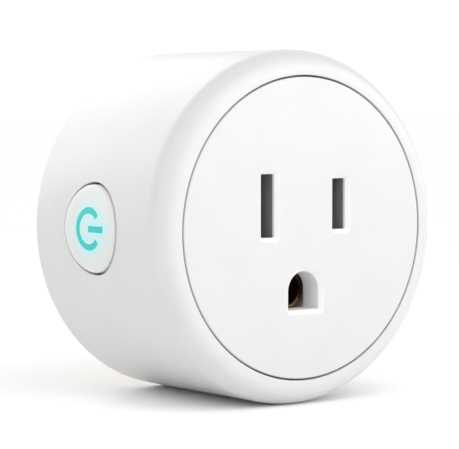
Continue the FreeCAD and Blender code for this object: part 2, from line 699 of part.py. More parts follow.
def make_cover_screws():
    """Four cross-head screws, each a head, a shank and a point."""
    screws = []
    seat, rear = "dims.head_sink", "(dims.head_sink - dims.head_high)"
    plain = "dims.screw_len - dims.screw_tip"
    cross = (("dims.recess_wide", "dims.recess_slot"), ("dims.recess_slot", "dims.recess_wide"))
    for across, up in boss_places():
        head = rod("screw_head", "dims.head_dia / 2", "dims.head_high", across, rear, up)
        shank = rod("screw_shank", "dims.shank_dia / 2", plain, across, seat, up)
        point = DOC.addObject("Part::Cone", "screw_point")
        point.setExpression("Radius1", "dims.shank_dia / 2")
        point.setExpression("Radius2", "dims.shank_dia / 6")
        point.setExpression("Height", "dims.screw_tip")
        point.Placement = FreeCAD.Placement(FreeCAD.Vector(), FreeCAD.Rotation(FreeCAD.Vector(1, 0, 0), 90))
        put(point, across, f"{seat} + {plain}", up)
        blank = fuse("screw_blank", [head, shank, point])
        arms = []
        for wide, high in cross:
            edges = [f"{across} - {wide} / 2", f"{across} + {wide} / 2", rear, f"{rear} + dims.recess_deep"]
            arms.append(box("screw_arm", *edges, f"{up} - {high} / 2", f"{up} + {high} / 2"))
        screws.append(cut("screw", blank, fuse("screw_cross", arms)))
    return piece(group("screws", screws), "cover_screws")


# ---- blades, earth pin, female contacts and their carrier ----------------------------------------


def make_blade(label, side):
    """Flat blade with a drilled hole, a shoulder inside the cover and a tail soldered to the board."""
    body = new_body(label)
    profile = sketch_on(body, "YZ_Plane")
    half = "dims.blade_wide / 2"
    shoulder = "dims.shoulder_wide / 2"
    near, far = "-dims.cover_thick", f"-{SHOULDER_FRONT}"
    end = f"-({BOARD_FRONT} + dims.tail_out)"
    tail_top, tail_low = "-dims.tail_off", "-(dims.tail_off + dims.tail_wide)"
    outline(
        profile,
        [
            ("dims.blade_len", f"-({half} - dims.blade_corner)"),
            ("dims.blade_len", f"{half} - dims.blade_corner"),
            ("dims.blade_len - dims.blade_corner", half),
            (near, half),
            (near, shoulder),
            (far, shoulder),
            (far, tail_top),
            (end, tail_top),
            (end, tail_low),
            (far, tail_low),
            (far, f"-{shoulder}"),
            (near, f"-{shoulder}"),
            (near, f"-{half}"),
            ("dims.blade_len - dims.blade_corner", f"-{half}"),
        ],
    )
    pad(profile, "dims.blade_thick", symmetric=True)
    hole = sketch_on(body, "YZ_Plane")
    circle(hole, "dims.blade_hole_at", "0", "dims.blade_hole_dia / 2")
    pocket(hole, "dims.blade_thick * 2", symmetric=True)
    tip = number("dims.blade_len")

    def tip_edge(edge):
        box_of = edge.BoundBox
        return abs(box_of.YMin - tip) < 1e-4 and box_of.ZLength > 1

    dress(body, "Chamfer", "dims.blade_edge", tip_edge)
    put(body, side, "0", SLOT_UP)
    return piece(body, label)


def make_earth_pin():
    """Round pin with a domed tip, a seat pressed in the cover, a collar inside it and a riveted tail."""
    body = new_body("pin")
    profile = sketch_on(body, "XY_Plane")
    collar_front = f"-{SHOULDER_FRONT}"
    rivet_seat = f"-({SHOULDER_FRONT} + dims.leaf_thick)"
    rivet_end = f"-({SHOULDER_FRONT} + dims.leaf_thick + dims.rivet_high)"
    outline(
        profile,
        [
            ("0", "dims.pin_len"),
            ("dims.pin_dia / 2", "dims.pin_len"),
            ("dims.pin_dia / 2", "0"),
            ("dims.seat_dia / 2", "0"),
            ("dims.seat_dia / 2", "-dims.cover_thick"),
            ("dims.collar_dia / 2", "-dims.cover_thick"),
            ("dims.collar_dia / 2", collar_front),
            ("dims.rivet_dia / 2", collar_front),
            ("dims.rivet_dia / 2", rivet_seat),
            ("dims.rivet_head / 2", rivet_seat),
            ("dims.rivet_head / 2", rivet_end),
            ("0", rivet_end),
        ],
    )
    revolve(profile, "V_Axis")
    dress(body, "Fillet", "dims.pin_round", ring_at("-dims.pin_len", "dims.pin_dia / 2"))
    put(body, "0", "0", EARTH_UP)
    return piece(body, "earth_pin")


def make_blade_contact(label, side, height):
    """Folded strip that grips a mating blade: two sprung leaves with a flared mouth, and a soldered leg."""
    body = new_body(label)
    profile = sketch_on(body, "XY_Plane")
    strip = "dims.leaf_thick"
    base, mouth = CLIP_BASE, CLIP_MOUTH
    pinch = f"({mouth} - dims.pinch_back)"
    outer = [
        (f"dims.base_gap / 2 + {strip}", base),
        (f"dims.base_gap / 2 + {strip}", f"{base} + dims.base_rise"),
        (f"dims.pinch_gap / 2 + {strip}", pinch),
        (f"dims.mouth_gap / 2 + {strip}", mouth),
    ]
    inner = [
        ("dims.mouth_gap / 2", mouth),
        ("dims.pinch_gap / 2", pinch),
        ("dims.base_gap / 2", f"{base} + dims.base_rise"),
        ("dims.base_gap / 2", f"{base} + {strip}"),
    ]
    right = [(across, f"-({depth})") for across, depth in outer + inner]
    left = [(f"-({across})", y) for across, y in reversed(right)]
    outline(profile, right + left)
    pad(profile, height, symmetric=True)
    leg = sketch_on(body, "XZ_Plane", f"{BOARD_REAR} - dims.tail_out")
    low, top = "dims.tail_off", "dims.tail_off + dims.tail_wide"
    outline(leg, frame_of(f"-{strip} / 2", f"{strip} / 2", low, top))
    pad(leg, f"{base} + {strip} / 2 - ({BOARD_REAR} - dims.tail_out)")
    put(body, side, "0", SLOT_UP)
    return piece(body, label)


def make_earth_contact():
    """Slit sleeve that grips a mating earth pin, with a strap back to a foot on this plug's own pin."""
    body = new_body("earth_clip")
    bore, outer = "dims.sleeve_bore / 2", "dims.sleeve_bore / 2 + dims.leaf_thick"
    sleeve = sketch_on(body, "XZ_Plane", CLIP_BASE)
    circle(sleeve, "0", "0", bore)
    circle(sleeve, "0", "0", outer)
    pad(sleeve, f"{CLIP_MOUTH} - {CLIP_BASE}")
    slit = sketch_on(body, "XZ_Plane", CLIP_MOUTH)
    half = "dims.sleeve_slit / 2"
    outline(slit, frame_of(f"-{half}", half, "dims.sleeve_bore / 4", f"{outer} + 1"))
    pocket(slit, f"{CLIP_MOUTH} - {CLIP_BASE}")
    strap = sketch_on(body, "XZ_Plane", SHOULDER_FRONT)
    wide = "dims.strap_wide / 2"
    outline(strap, frame_of(f"-{wide}", wide, f"-({outer})", f"-({bore})"))
    pad(strap, f"{CLIP_BASE} + dims.strap_wide / 2 - {SHOULDER_FRONT}")
    foot = sketch_on(body, "XZ_Plane", SHOULDER_FRONT)
    circle(foot, "0", "0", "dims.rivet_dia / 2")
    circle(foot, "0", "0", "dims.collar_dia / 2")
    pad(foot, "dims.leaf_thick")
    put(body, "0", "0", EARTH_UP)
    return piece(body, "earth_contact")


def make_contact_carrier():
    """Moulded block with a pocket for each contact, two slotted noses in the face plate and four feet."""
    body = new_body("carrier")
    block = sketch_on(body, "XZ_Plane", CARRIER_REAR)
    rectangle(block, "0", SLOT_UP, f"2 * {CARRIER_SIDE}", f"2 * {CARRIER_HALF}")
    whole = f"{LEDGE_REAR} - {CARRIER_REAR}"
    pad(block, whole)
    noses = sketch_on(body, "XZ_Plane", LEDGE_REAR)
    slots = sketch_on(body, "XZ_Plane", NOSE_FRONT)
    for side, high in ((f"-{SLOT_SIDE}", "dims.neutral_slot"), (SLOT_SIDE, "dims.line_slot")):
        rectangle(noses, side, SLOT_UP, f"2 * {NOSE_HALF}", f"2 * {CARRIER_HALF}")
        rectangle(slots, side, SLOT_UP, "dims.slot_width", high)
    pad(noses, f"{NOSE_FRONT} - {LEDGE_REAR}")
    pocket(slots, f"{NOSE_FRONT} - {LEDGE_REAR}")
    chimney = sketch_on(body, "XZ_Plane", CARRIER_REAR)
    circle(chimney, "0", EARTH_UP, f"{CHIMNEY_BORE} + dims.carrier_wall")
    pad(chimney, whole)
    web = sketch_on(body, "XZ_Plane", CARRIER_REAR)
    half_web = "dims.web_wide / 2"
    web_top = f"{SLOT_UP} - {CARRIER_HALF} + dims.carrier_wall / 2"
    outline(web, frame_of(f"-{half_web}", half_web, EARTH_UP, web_top))
    pad(web, whole)
    pockets = sketch_on(body, "XZ_Plane", LEDGE_REAR)
    for side, clip in ((f"-{SLOT_SIDE}", "dims.neutral_clip"), (SLOT_SIDE, "dims.line_clip")):
        rectangle(pockets, side, SLOT_UP, f"2 * {POCKET_HALF}", f"{clip} + 2 * dims.carrier_gap")
    pocket(pockets, f"{LEDGE_REAR} - {CLIP_BASE}")
    bore = sketch_on(body, "XZ_Plane", LEDGE_REAR)
    circle(bore, "0", EARTH_UP, CHIMNEY_BORE)
    pocket(bore, whole)
    leg_slots = sketch_on(body, "XZ_Plane", CLIP_BASE)
    leg_wide = "dims.leaf_thick + 2 * dims.pad_clear"
    leg_high = "dims.tail_wide + 2 * dims.pad_clear"
    leg_up = f"{SLOT_UP} + dims.tail_off + dims.tail_wide / 2"
    for side in (f"-{SLOT_SIDE}", SLOT_SIDE):
        rectangle(leg_slots, side, leg_up, leg_wide, leg_high)
    pocket(leg_slots, "dims.carrier_wall")
    feet = sketch_on(body, "XZ_Plane", BOARD_FRONT)
    foot_reach = f"({CARRIER_HALF} - dims.foot_size / 2)"
    for sign in ("", "-"):
        side = f"{sign}({CARRIER_SIDE} - dims.foot_size / 2)"
        rectangle(feet, side, f"{SLOT_UP} + {foot_reach}", "dims.foot_size", "dims.foot_size")
        rectangle(feet, side, f"{SLOT_UP} - {foot_reach}", "dims.foot_size", "dims.foot_size")
    pad(feet, f"{CARRIER_REAR} - {BOARD_FRONT}")
    return piece(body, "contact_carrier")


# ---- main board and what is soldered on it -------------------------------------------------------


def lead_places():
    """Where round leads pass through the board, as (across, up)."""
    half = "dims.lead_pitch / 2"
    places = []
    for name in ("bulk", "output"):
        for sign in ("-", "+"):
            places.append((f"dims.{name}_across", f"dims.{name}_up {sign} {half}"))
    for name in ("choke", "fuse"):
        for sign in ("-", "+"):
            places.append((f"dims.{name}_across {sign} {half}", f"dims.{name}_up"))
    for sign in ("-", "+"):
        places.append(("dims.varistor_across", f"dims.varistor_up {sign} {half}"))
    for sign in ("-", "+"):
        places.append(("-(dims.relay_long / 2 - 2 * dims.relay_skin)", f"{RELAY_MID} {sign} {half}"))
    return places


def pin_places():
    """Where square header pins pass through the board, as (across, up)."""
    half_pin = "dims.header_pin / 2"
    places = []
    for step in (-2, -1, 0, 1, 2):
        places.append((f"{step} * dims.header_pitch", f"dims.radio_up + {half_pin}"))
    for step in (-2.5, -1.5, 1.5, 2.5):
        inner_face = f"({SWITCH_BOARD} - dims.switch_board_thick)"
        places.append((f"-({inner_face} - {half_pin})", f"{step} * dims.header_pitch"))
    return places


def make_main_board():
    """Round board with notches for the bosses and openings for tails, leads, pins and the earth strap."""
    body = new_body("board")
    disc = sketch_on(body, "XZ_Plane", BOARD_REAR)
    circle(disc, "0", "0", f"{INNER} - dims.board_gap")
    pad(disc, "dims.board_thick")
    openings = sketch_on(body, "XZ_Plane", BOARD_FRONT)
    for across, up in boss_places():
        circle(openings, across, up, "dims.boss_dia / 2 + dims.boss_clear")
    circle(openings, "0", EARTH_UP, "dims.collar_dia / 2 + dims.boss_clear")
    tail_high = "dims.tail_wide + 2 * dims.pad_clear"
    for side in (f"-{SLOT_SIDE}", SLOT_SIDE):
        for sign, thick in (("-", "dims.blade_thick"), ("+", "dims.leaf_thick")):
            tail_up = f"{SLOT_UP} {sign} (dims.tail_off + dims.tail_wide / 2)"
            rectangle(openings, side, tail_up, f"{thick} + 2 * dims.pad_clear", tail_high)
    for across, up in lead_places():
        circle(openings, across, up, "dims.lead_dia / 2 + dims.pad_clear")
    for across, up in pin_places():
        pin_hole = "dims.header_pin + 2 * dims.pad_clear"
        rectangle(openings, across, up, pin_hole, pin_hole)
    rectangle(openings, POST_ACROSS, RELAY_MID, "dims.post_thick + 2 * dims.pad_clear", tail_high)
    pocket(openings, "dims.board_thick")
    return piece(body, "main_board")


def make_component_leads():
    """Round leads of the parts that stand on the board."""
    length = "dims.board_thick + dims.tail_out"
    rear = f"{BOARD_REAR} - dims.tail_out"
    leads = [rod("lead", "dims.lead_dia / 2", length, across, rear, up) for across, up in lead_places()]
    return piece(group("leads", leads), "component_leads")


def make_header_pins():
    """Square pins that join the radio board and the switch board to the main board."""
    half = "dims.header_pin / 2"
    pins = []
    for across, up in pin_places():
        rear, front = f"{BOARD_REAR} - dims.tail_out", f"{BOARD_FRONT} + dims.header_rise"
        pins.append(box("pin", f"{across} - {half}", f"{across} + {half}", rear, front,
                        f"{up} - {half}", f"{up} + {half}"))
    return piece(group("pins", pins), "header_pins")


def make_capacitor(name, label):
    """Electrolytic can with a rolled groove near its foot."""
    body = new_body(name)
    profile = sketch_on(body, "XY_Plane")
    radius = f"dims.{name}_dia / 2"
    foot = BOARD_FRONT
    groove = f"{foot} + dims.can_groove_at"
    corners = [
        ("0", foot),
        (radius, foot),
        (radius, f"{groove} - dims.can_groove"),
        (f"{radius} - dims.can_groove", groove),
        (radius, f"{groove} + dims.can_groove"),
        (radius, f"{foot} + dims.{name}_tall"),
        ("0", f"{foot} + dims.{name}_tall"),
    ]
    outline(profile, [(across, f"-({depth})") for across, depth in corners])
    revolve(profile, "V_Axis")
    dress(body, "Fillet", "dims.can_round", ring_at(f"{foot} + dims.{name}_tall", radius))
    put(body, f"dims.{name}_across", "0", f"dims.{name}_up")
    return piece(body, label)


def make_choke():
    """Drum core and its winding."""
    place = ("dims.choke_across", BOARD_FRONT, "dims.choke_up")
    waist = rod("choke_waist", "dims.choke_waist / 2", "dims.choke_tall", *place)
    foot = rod("choke_foot", "dims.choke_dia / 2", "dims.choke_flange", *place)
    top_at = f"{BOARD_FRONT} + dims.choke_tall - dims.choke_flange"
    top = rod("choke_top", "dims.choke_dia / 2", "dims.choke_flange", place[0], top_at, place[2])
    piece(fuse("choke_drum", [waist, foot, top]), "choke_core")
    wound = ("dims.choke_across", f"{BOARD_FRONT} + dims.choke_flange", "dims.choke_up")
    length = "dims.choke_tall - 2 * dims.choke_flange"
    outside = rod("choke_wire_outside", "dims.choke_dia / 2 - dims.carrier_gap", length, *wound)
    inside = rod("choke_wire_inside", "dims.choke_waist / 2", length, *wound)
    piece(cut("choke_wire", outside, inside), "choke_winding")


def make_fuse_and_varistor():
    """Micro fuse and the surge absorber's disc on its coated legs."""
    place = ("dims.fuse_across", BOARD_FRONT, "dims.fuse_up")
    piece(rod("fuse_body", "dims.fuse_dia / 2", "dims.fuse_tall", *place), "micro_fuse")
    centre = f"{BOARD_FRONT} + dims.varistor_rise + dims.varistor_dia / 2"
    disc = rod("varistor_disc", "dims.varistor_dia / 2", "dims.varistor_thick",
               "dims.varistor_across + dims.varistor_thick / 2", centre, "dims.varistor_up", along="left")
    legs = []
    leg_radius, leg_len = "dims.lead_dia / 2 + dims.pad_clear", "dims.varistor_rise + dims.varistor_dia / 4"
    for sign in ("-", "+"):
        up = f"dims.varistor_up {sign} dims.lead_pitch / 2"
        legs.append(rod("varistor_leg", leg_radius, leg_len, "dims.varistor_across", BOARD_FRONT, up))
    piece(fuse("varistor_all", [disc] + legs), "varistor")


def make_rear_chips():
    """Parts soldered to the board's rear face, between it and the cover."""

    def chip(name, across, up, wide, high, tall):
        """Block with its face on the board."""
        rear = f"{BOARD_REAR} - {tall}"
        return box(name, f"{across} - {wide} / 2", f"{across} + {wide} / 2", rear, BOARD_REAR,
                   f"{up} - {high} / 2", f"{up} + {high} / 2")

    sizes = ("dims.rectifier_size", "dims.rectifier_size", "dims.rectifier_tall")
    piece(chip("rectifier", "0", "2.5", *sizes), "bridge_rectifier")
    sizes = ("dims.converter_long", "dims.converter_wide", "dims.converter_tall")
    piece(chip("converter", "0", "12", *sizes), "converter_chip")
    sizes = ("dims.regulator_wide", "dims.regulator_long", "dims.regulator_tall")
    piece(chip("regulator", "12", "-1", *sizes), "voltage_regulator")
    small = []
    sizes = ("dims.passive_wide", "dims.passive_long", "dims.passive_tall")
    for up in ("16.8", "-17.2"):
        for step in (-2.5, -1.5, 1.5, 2.5):
            small.append(chip("passive", f"{step} * (dims.passive_long + 0.6)", up, *sizes))
    piece(group("passives", small), "surface_passives")


# ---- relay ---------------------------------------------------------------------------------------


def make_relay_enclosure():
    """Relay case, open towards the board, and the base that closes it."""
    half, skin, fit = "dims.relay_long / 2", "dims.relay_skin", "dims.relay_fit"
    low, top = RELAY_LOW, f"{RELAY_LOW} + dims.relay_high"
    front = f"{BOARD_FRONT} + dims.relay_tall"
    outside = box("relay_outside", f"-{half}", half, BOARD_FRONT, front, low, top)
    side, roof = f"({half} - {skin})", f"{front} - {skin}"
    inside = box("relay_inside", f"-{side}", side, BOARD_FRONT, roof, f"{low} + {skin}", f"{top} - {skin}")
    piece(cut("relay_shell", outside, inside), "relay_case")
    side, low, top = f"({side} - {fit})", f"{low} + {skin} + {fit}", f"{top} - {skin} - {fit}"
    slab = box("relay_slab", f"-{side}", side, BOARD_FRONT, RELAY_FLOOR, low, top)
    left, right = f"{POST_ACROSS} - dims.post_thick / 2", f"{POST_ACROSS} + dims.post_thick / 2"
    low, top = f"{RELAY_MID} - dims.tail_wide / 2", f"{RELAY_MID} + dims.tail_wide / 2"
    slot = box("relay_slot", left, right, BOARD_FRONT, RELAY_FLOOR, low, top)
    piece(cut("relay_base_slab", slab, slot), "relay_base")


def make_relay_magnet():
    """Bobbin, winding, iron core and L-shaped yoke."""
    across, up = "-dims.coil_off", RELAY_MID
    flange = "dims.flange_thick_coil"
    spool_len = f"2 * {flange} + dims.coil_len"
    top_flange = f"{SPOOL_FOOT} + {flange} + dims.coil_len"
    parts = [
        rod("bobbin_tube", "dims.spool_dia / 2", spool_len, across, SPOOL_FOOT, up),
        rod("bobbin_foot", "dims.flange_dia_coil / 2", flange, across, SPOOL_FOOT, up),
        rod("bobbin_top", "dims.flange_dia_coil / 2", flange, across, top_flange, up),
    ]
    bore = rod("bobbin_bore", "dims.core_dia / 2", spool_len, across, SPOOL_FOOT, up)
    piece(cut("bobbin", fuse("bobbin_blank", parts), bore), "relay_bobbin")
    wound = (f"dims.coil_len", across, f"{SPOOL_FOOT} + {flange}", up)
    outside = rod("coil_outside", "dims.coil_dia / 2", *wound)
    inside = rod("coil_inside", "dims.spool_dia / 2", *wound)
    piece(cut("coil", outside, inside), "relay_winding")
    stem_len = f"{SPOOL_FOOT} + {spool_len} - {RELAY_FLOOR}"
    stem = rod("core_stem", "dims.core_dia / 2", stem_len, across, RELAY_FLOOR, up)
    pole_at = f"{SPOOL_FOOT} + {spool_len}"
    pole = rod("core_pole", "dims.core_head / 2", "dims.core_head_high", across, pole_at, up)
    piece(fuse("core", [stem, pole]), "relay_core")
    half = "dims.yoke_high / 2"
    low, top = f"{up} - {half}", f"{up} + {half}"
    out, far = "dims.yoke_out", "-(dims.coil_off + dims.core_head / 2)"
    upright = box("yoke_upright", f"{out} - dims.yoke_thick", out, RELAY_FLOOR, POLE, low, top)
    leg = box("yoke_leg", far, out, RELAY_FLOOR, SPOOL_FOOT, low, top)
    hole = rod("yoke_hole", "dims.core_dia / 2", "dims.yoke_thick", across, RELAY_FLOOR, up)
    piece(cut("yoke", fuse("yoke_blank", [upright, leg]), hole), "relay_yoke")


def set_on_hinge(shape):
    """Move a shape drawn closed about the hinge line to the relay, turned open."""
    shape.Placement = FreeCAD.Placement(FreeCAD.Vector(), FreeCAD.Rotation(FreeCAD.Vector(0, 0, 1), 1))
    shape.setExpression("Placement.Rotation.Angle", "dims.armature_open")
    return put(shape, "dims.yoke_out", f"{POLE} + dims.air_gap", RELAY_MID)


def make_relay_armature():
    """Armature plate, and the leaf with the moving contact tip that rides on it."""
    body = new_body("armature")
    profile = sketch_on(body, "XZ_Plane")
    half, neck = "dims.armature_high / 2", "dims.leaf_high / 2"
    outline(
        profile,
        [
            ("-dims.armature_len", f"-({half})"),
            ("-dims.armature_tail", f"-({half})"),
            ("dims.armature_tail", f"-({neck})"),
            ("dims.armature_tail", neck),
            ("-dims.armature_tail", half),
            ("-dims.armature_len", half),
        ],
    )
    pad(profile, "dims.armature_thick")
    piece(set_on_hinge(body), "relay_armature")
    near, far, wide = "dims.leaf_off", "dims.leaf_off + dims.leaf_spring", "dims.leaf_high / 2"
    under, over = "dims.armature_thick", "dims.armature_thick + dims.leaf_spring"
    arm = box("leaf_arm", "-dims.armature_len / 2", far, under, over, f"-{wide}", wide)
    drop = box("leaf_drop", near, far, "-dims.leaf_drop", over, f"-{wide}", wide)
    tip = rod("leaf_tip", "dims.tip_dia / 2", "dims.tip_thick", f"{far} + dims.tip_thick", "-dims.tip_drop",
              "0", along="left")
    piece(set_on_hinge(fuse("leaf", [arm, drop, tip])), "relay_moving_contact")


def make_relay_fixed_contact():
    """Fixed contact tip on a post that runs down through the base and the board."""
    left, right = f"{POST_ACROSS} - dims.post_thick / 2", f"{POST_ACROSS} + dims.post_thick / 2"
    low, top = f"{RELAY_MID} - dims.tail_wide / 2", f"{RELAY_MID} + dims.tail_wide / 2"
    tip_depth = f"{POLE} + dims.air_gap - dims.tip_drop"
    rear, front = f"{BOARD_REAR} - dims.tail_out", f"{tip_depth} + dims.tip_dia"
    post = box("contact_post", left, right, rear, front, low, top)
    tip = rod("contact_tip", "dims.tip_dia / 2", "dims.tip_thick", left, tip_depth, RELAY_MID, along="left")
    piece(fuse("fixed_contact", [post, tip]), "relay_fixed_contact")


# ---- button, light guide, switch and its board ---------------------------------------------------


def button_rod(name, radius, outside, inside, sweep=None):
    """Rod on the button's axis between two distances from the housing's axis."""
    return rod(name, radius, f"({outside}) - ({inside})", f"-({inside})", BUTTON_DEPTH, "0", "left", sweep)


def icon_shapes(name, grow, inside):
    """The power symbol as prisms: an open ring and a bar that points to the front, grown by a clearance."""
    outer = f"dims.icon_dia / 2 + {grow}"
    inner = f"dims.icon_dia / 2 - dims.icon_line - {grow}"
    edge = f"{BUTTON_TOP} + 1"
    sweep = f"360 - dims.icon_open + 2 * {grow} * 10"
    solid = button_rod(f"{name}_ring_solid", outer, edge, inside, sweep)
    hollow = button_rod(f"{name}_ring_hollow", inner, edge, inside)
    # The sector starts at the cylinder's own X axis, so it is turned to centre its gap on the front.
    turn = FreeCAD.Rotation(FreeCAD.Vector(0, 1, 0), -90)
    start = number(f"dims.icon_open / 2 - {grow} * 10")
    spin = FreeCAD.Rotation(FreeCAD.Vector(0, 0, 1), start - 90)
    solid.Placement = FreeCAD.Placement(solid.Placement.Base, turn * spin)
    ring = cut(f"{name}_ring", solid, hollow)
    half = f"(dims.icon_line / 2 + {grow})"
    near, far = f"{BUTTON_DEPTH} - {grow}", f"{BUTTON_DEPTH} + dims.icon_bar + {grow}"
    bar = box(f"{name}_bar", f"-({edge})", f"-({inside})", near, far, f"-{half}", half)
    return [ring, bar]


def make_button_cap():
    """Cap that follows the housing's curve, with the symbol cut through it and a retaining flange."""
    front = rod("cap_curve", BUTTON_TOP, "dims.button_dia", "0", f"{BUTTON_DEPTH} - {BUTTON_R}", "0")
    plug = button_rod("cap_plug", BUTTON_R, f"{BUTTON_TOP} + 1", RIM_TOP)
    head = common("cap_head", plug, front)
    DOC.recompute()
    rounded = DOC.addObject("Part::Fillet", "cap_rounded")
    rounded.Base = head
    top = number(f"sqrt({BUTTON_TOP} ^ 2 - {BUTTON_R} ^ 2)") - 1e-3
    radius = number("dims.button_round")
    edges = [i for i, edge in enumerate(head.Shape.Edges, start=1) if -edge.BoundBox.XMax > top - radius]
    rounded.Edges = [(i, radius, radius) for i in edges if head.Shape.Edges[i - 1].Length > radius]
    rim_under = f"{RIM_TOP} - dims.cap_rim_thick"
    rim = button_rod("cap_rim", RIM_R, RIM_TOP, rim_under)
    blank = fuse("cap_blank", [rounded, rim])
    hollow = button_rod("cap_hollow", f"{BUTTON_R} - dims.cap_wall", CAP_UNDER, rim_under)
    cutters = [hollow] + icon_shapes("cap_icon", "dims.icon_fit", f"{CAP_UNDER} - 1")
    piece(cut("cap", blank, fuse("cap_cutters", cutters)), "button_cap")


def make_light_guide():
    """Clear guide: the symbol in the cap's cut-out, a base disc inside the cap and a stem on the switch."""
    base_r = f"{BUTTON_R} - dims.cap_wall - dims.guide_gap"
    icon = fuse("guide_icon", icon_shapes("guide_icon", "0", f"{CAP_UNDER} - dims.guide_thick / 2"))
    curve = rod("guide_curve", BUTTON_TOP, "dims.button_dia", "0", f"{BUTTON_DEPTH} - {BUTTON_R}", "0")
    proud = common("guide_proud", icon, curve)
    base = button_rod("guide_base", base_r, CAP_UNDER, f"{CAP_UNDER} - dims.guide_thick")
    stem = button_rod("guide_stem", "dims.stem_dia / 2", CAP_UNDER, SWITCH_TIP)
    piece(fuse("guide", [proud, base, stem]), "light_guide")


def make_switch():
    """Tactile switch: moulded base, snap dome, plunger and the metal frame that holds them."""
    half = "dims.switch_size / 2"
    near, far = f"{BUTTON_DEPTH} - {half}", f"{BUTTON_DEPTH} + {half}"
    top = f"({SWITCH_BOARD} + dims.switch_base_high)"

    block = box("switch_block", f"-{top}", f"-{SWITCH_BOARD}", near, far, f"-{half}", half)
    well = button_rod("switch_well", "dims.switch_well_dia / 2", top, WELL_FLOOR)
    piece(cut("switch_base_cut", block, well), "switch_base")
    left, out = f"-({top} + dims.switch_frame)", f"{half} + dims.switch_frame"
    lid = box("frame_lid", left, f"-{top}", near, far, f"-{half}", half)
    sides = [
        box("frame_upper", left, f"-{SWITCH_BOARD}", near, far, half, out),
        box("frame_lower", left, f"-{SWITCH_BOARD}", near, far, f"-({out})", f"-{half}"),
    ]
    opening = button_rod("frame_hole", "dims.plunger_dia / 2 + dims.plunger_gap", f"{top} + 1", top)
    piece(cut("frame", fuse("frame_blank", [lid] + sides), opening), "switch_frame")
    rod_part = button_rod("plunger_rod", "dims.plunger_dia / 2", SWITCH_TIP, FOOT_UNDER)
    foot = button_rod("plunger_flange", "dims.plunger_foot / 2", FOOT_TOP, FOOT_UNDER)
    piece(fuse("plunger", [rod_part, foot]), "switch_plunger")


def make_switch_dome():
    """Snap dome under the plunger, a thin dished disc."""
    body = new_body("dome")
    profile = sketch_on(body, "XY_Plane")
    skin = "dims.dome_thick"
    crown, rim = "dims.dome_dia / 6", "dims.dome_dia / 2"
    outline(
        profile,
        [
            (f"-{DOME_HIGH}", "0"),
            (f"-{DOME_HIGH}", crown),
            (f"-{skin}", rim),
            ("0", rim),
            ("0", f"{rim} - 2 * {skin}"),
            (f"-({DOME_HIGH} - {skin})", f"{crown} - {skin}"),
            (f"-({DOME_HIGH} - {skin})", "0"),
        ],
    )
    revolve(profile, "H_Axis")
    put(body, f"-({WELL_FLOOR})", BUTTON_DEPTH, "0")
    return piece(body, "switch_dome")


def make_switch_board():
    """Small upright board behind the button, with an indicator lamp above and below the switch."""
    half = "dims.switch_board_high / 2"
    inner = f"{SWITCH_BOARD} - dims.switch_board_thick"
    front = f"{BOARD_FRONT} + dims.switch_board_deep"
    board = box("small_board", f"-({SWITCH_BOARD})", f"-({inner})", BOARD_FRONT, front, f"-{half}", half)
    piece(board, "switch_board")
    lamps = []
    left, right = f"-({SWITCH_BOARD} + dims.led_tall)", f"-({SWITCH_BOARD})"
    rear, front = f"{BUTTON_DEPTH} - dims.led_long / 2", f"{BUTTON_DEPTH} + dims.led_long / 2"
    for mid in ("-dims.led_off", "dims.led_off"):
        low, top = f"{mid} - dims.led_wide / 2", f"{mid} + dims.led_wide / 2"
        lamps.append(box("lamp", left, right, rear, front, low, top))
    piece(group("lamps", lamps), "indicator_leds")


# ---- radio module --------------------------------------------------------------------------------


def make_radio_module():
    """Upright radio board with its shield can and a meandering antenna trace at the front edge."""
    half = "dims.radio_wide / 2"
    under = "dims.radio_up - dims.radio_thick"
    front = f"({BOARD_FRONT} + dims.radio_deep)"
    piece(box("radio", f"-{half}", half, BOARD_FRONT, front, under, "dims.radio_up"), "radio_board")
    wide, skin = "dims.shield_wide / 2", "dims.shield_skin"
    rear = f"{BOARD_FRONT} + dims.shield_rise"
    end, low = f"{rear} + dims.shield_deep", f"{under} - dims.shield_tall"
    outside = box("shield_outside", f"-{wide}", wide, rear, end, low, under)
    side, floor = f"({wide} - {skin})", f"{low} + {skin}"
    inside = box("shield_inside", f"-{side}", side, f"{rear} + {skin}", f"{end} - {skin}", floor, under)
    piece(cut("shield", outside, inside), "radio_shield")
    trace, floor, top = "dims.trace_wide / 2", "dims.radio_up", "dims.radio_up + dims.trace_thick"
    near, far = f"{front} - dims.trace_inset - dims.trace_deep", f"{front} - dims.trace_inset"
    bars = []
    for step in range(-4, 5):
        left = f"{step} * dims.trace_pitch - {trace}"
        bars.append(box("trace_bar", left, f"{left} + dims.trace_wide", near, far, floor, top))
    for step in range(-4, 4):
        left = f"{step} * dims.trace_pitch - {trace}"
        right = f"{left} + dims.trace_pitch + dims.trace_wide"
        turn = (near, f"{near} + dims.trace_wide") if step % 2 else (f"{far} - dims.trace_wide", far)
        bars.append(box("trace_turn", left, right, *turn, floor, top))
    piece(fuse("trace", bars), "antenna_trace")


# ---- build, check and export ---------------------------------------------------------------------


def make_all():
    """Build every sub-part, from the outside in."""
    make_main_housing()
    make_face_plate()
    make_rear_cover()
    make_rating_label()
    make_cover_screws()
    make_blade("neutral_blade", f"-{SLOT_SIDE}")
    make_blade("line_blade", SLOT_SIDE)
    make_earth_pin()
    make_blade_contact("neutral_contact", f"-{SLOT_SIDE}", "dims.neutral_clip")
    make_blade_contact("line_contact", SLOT_SIDE, "dims.line_clip")
    make_earth_contact()
    make_contact_carrier()
    make_main_board()
    make_component_leads()
    make_header_pins()
    make_capacitor("bulk", "bulk_capacitor")
    make_capacitor("output", "output_capacitor")
    make_choke()
    make_fuse_and_varistor()
    make_rear_chips()
    make_relay_enclosure()
    make_relay_magnet()
    make_relay_armature()
    make_relay_fixed_contact()
    make_button_cap()
    make_light_guide()
    make_switch()
    make_switch_dome()
    make_switch_board()
    make_radio_module()


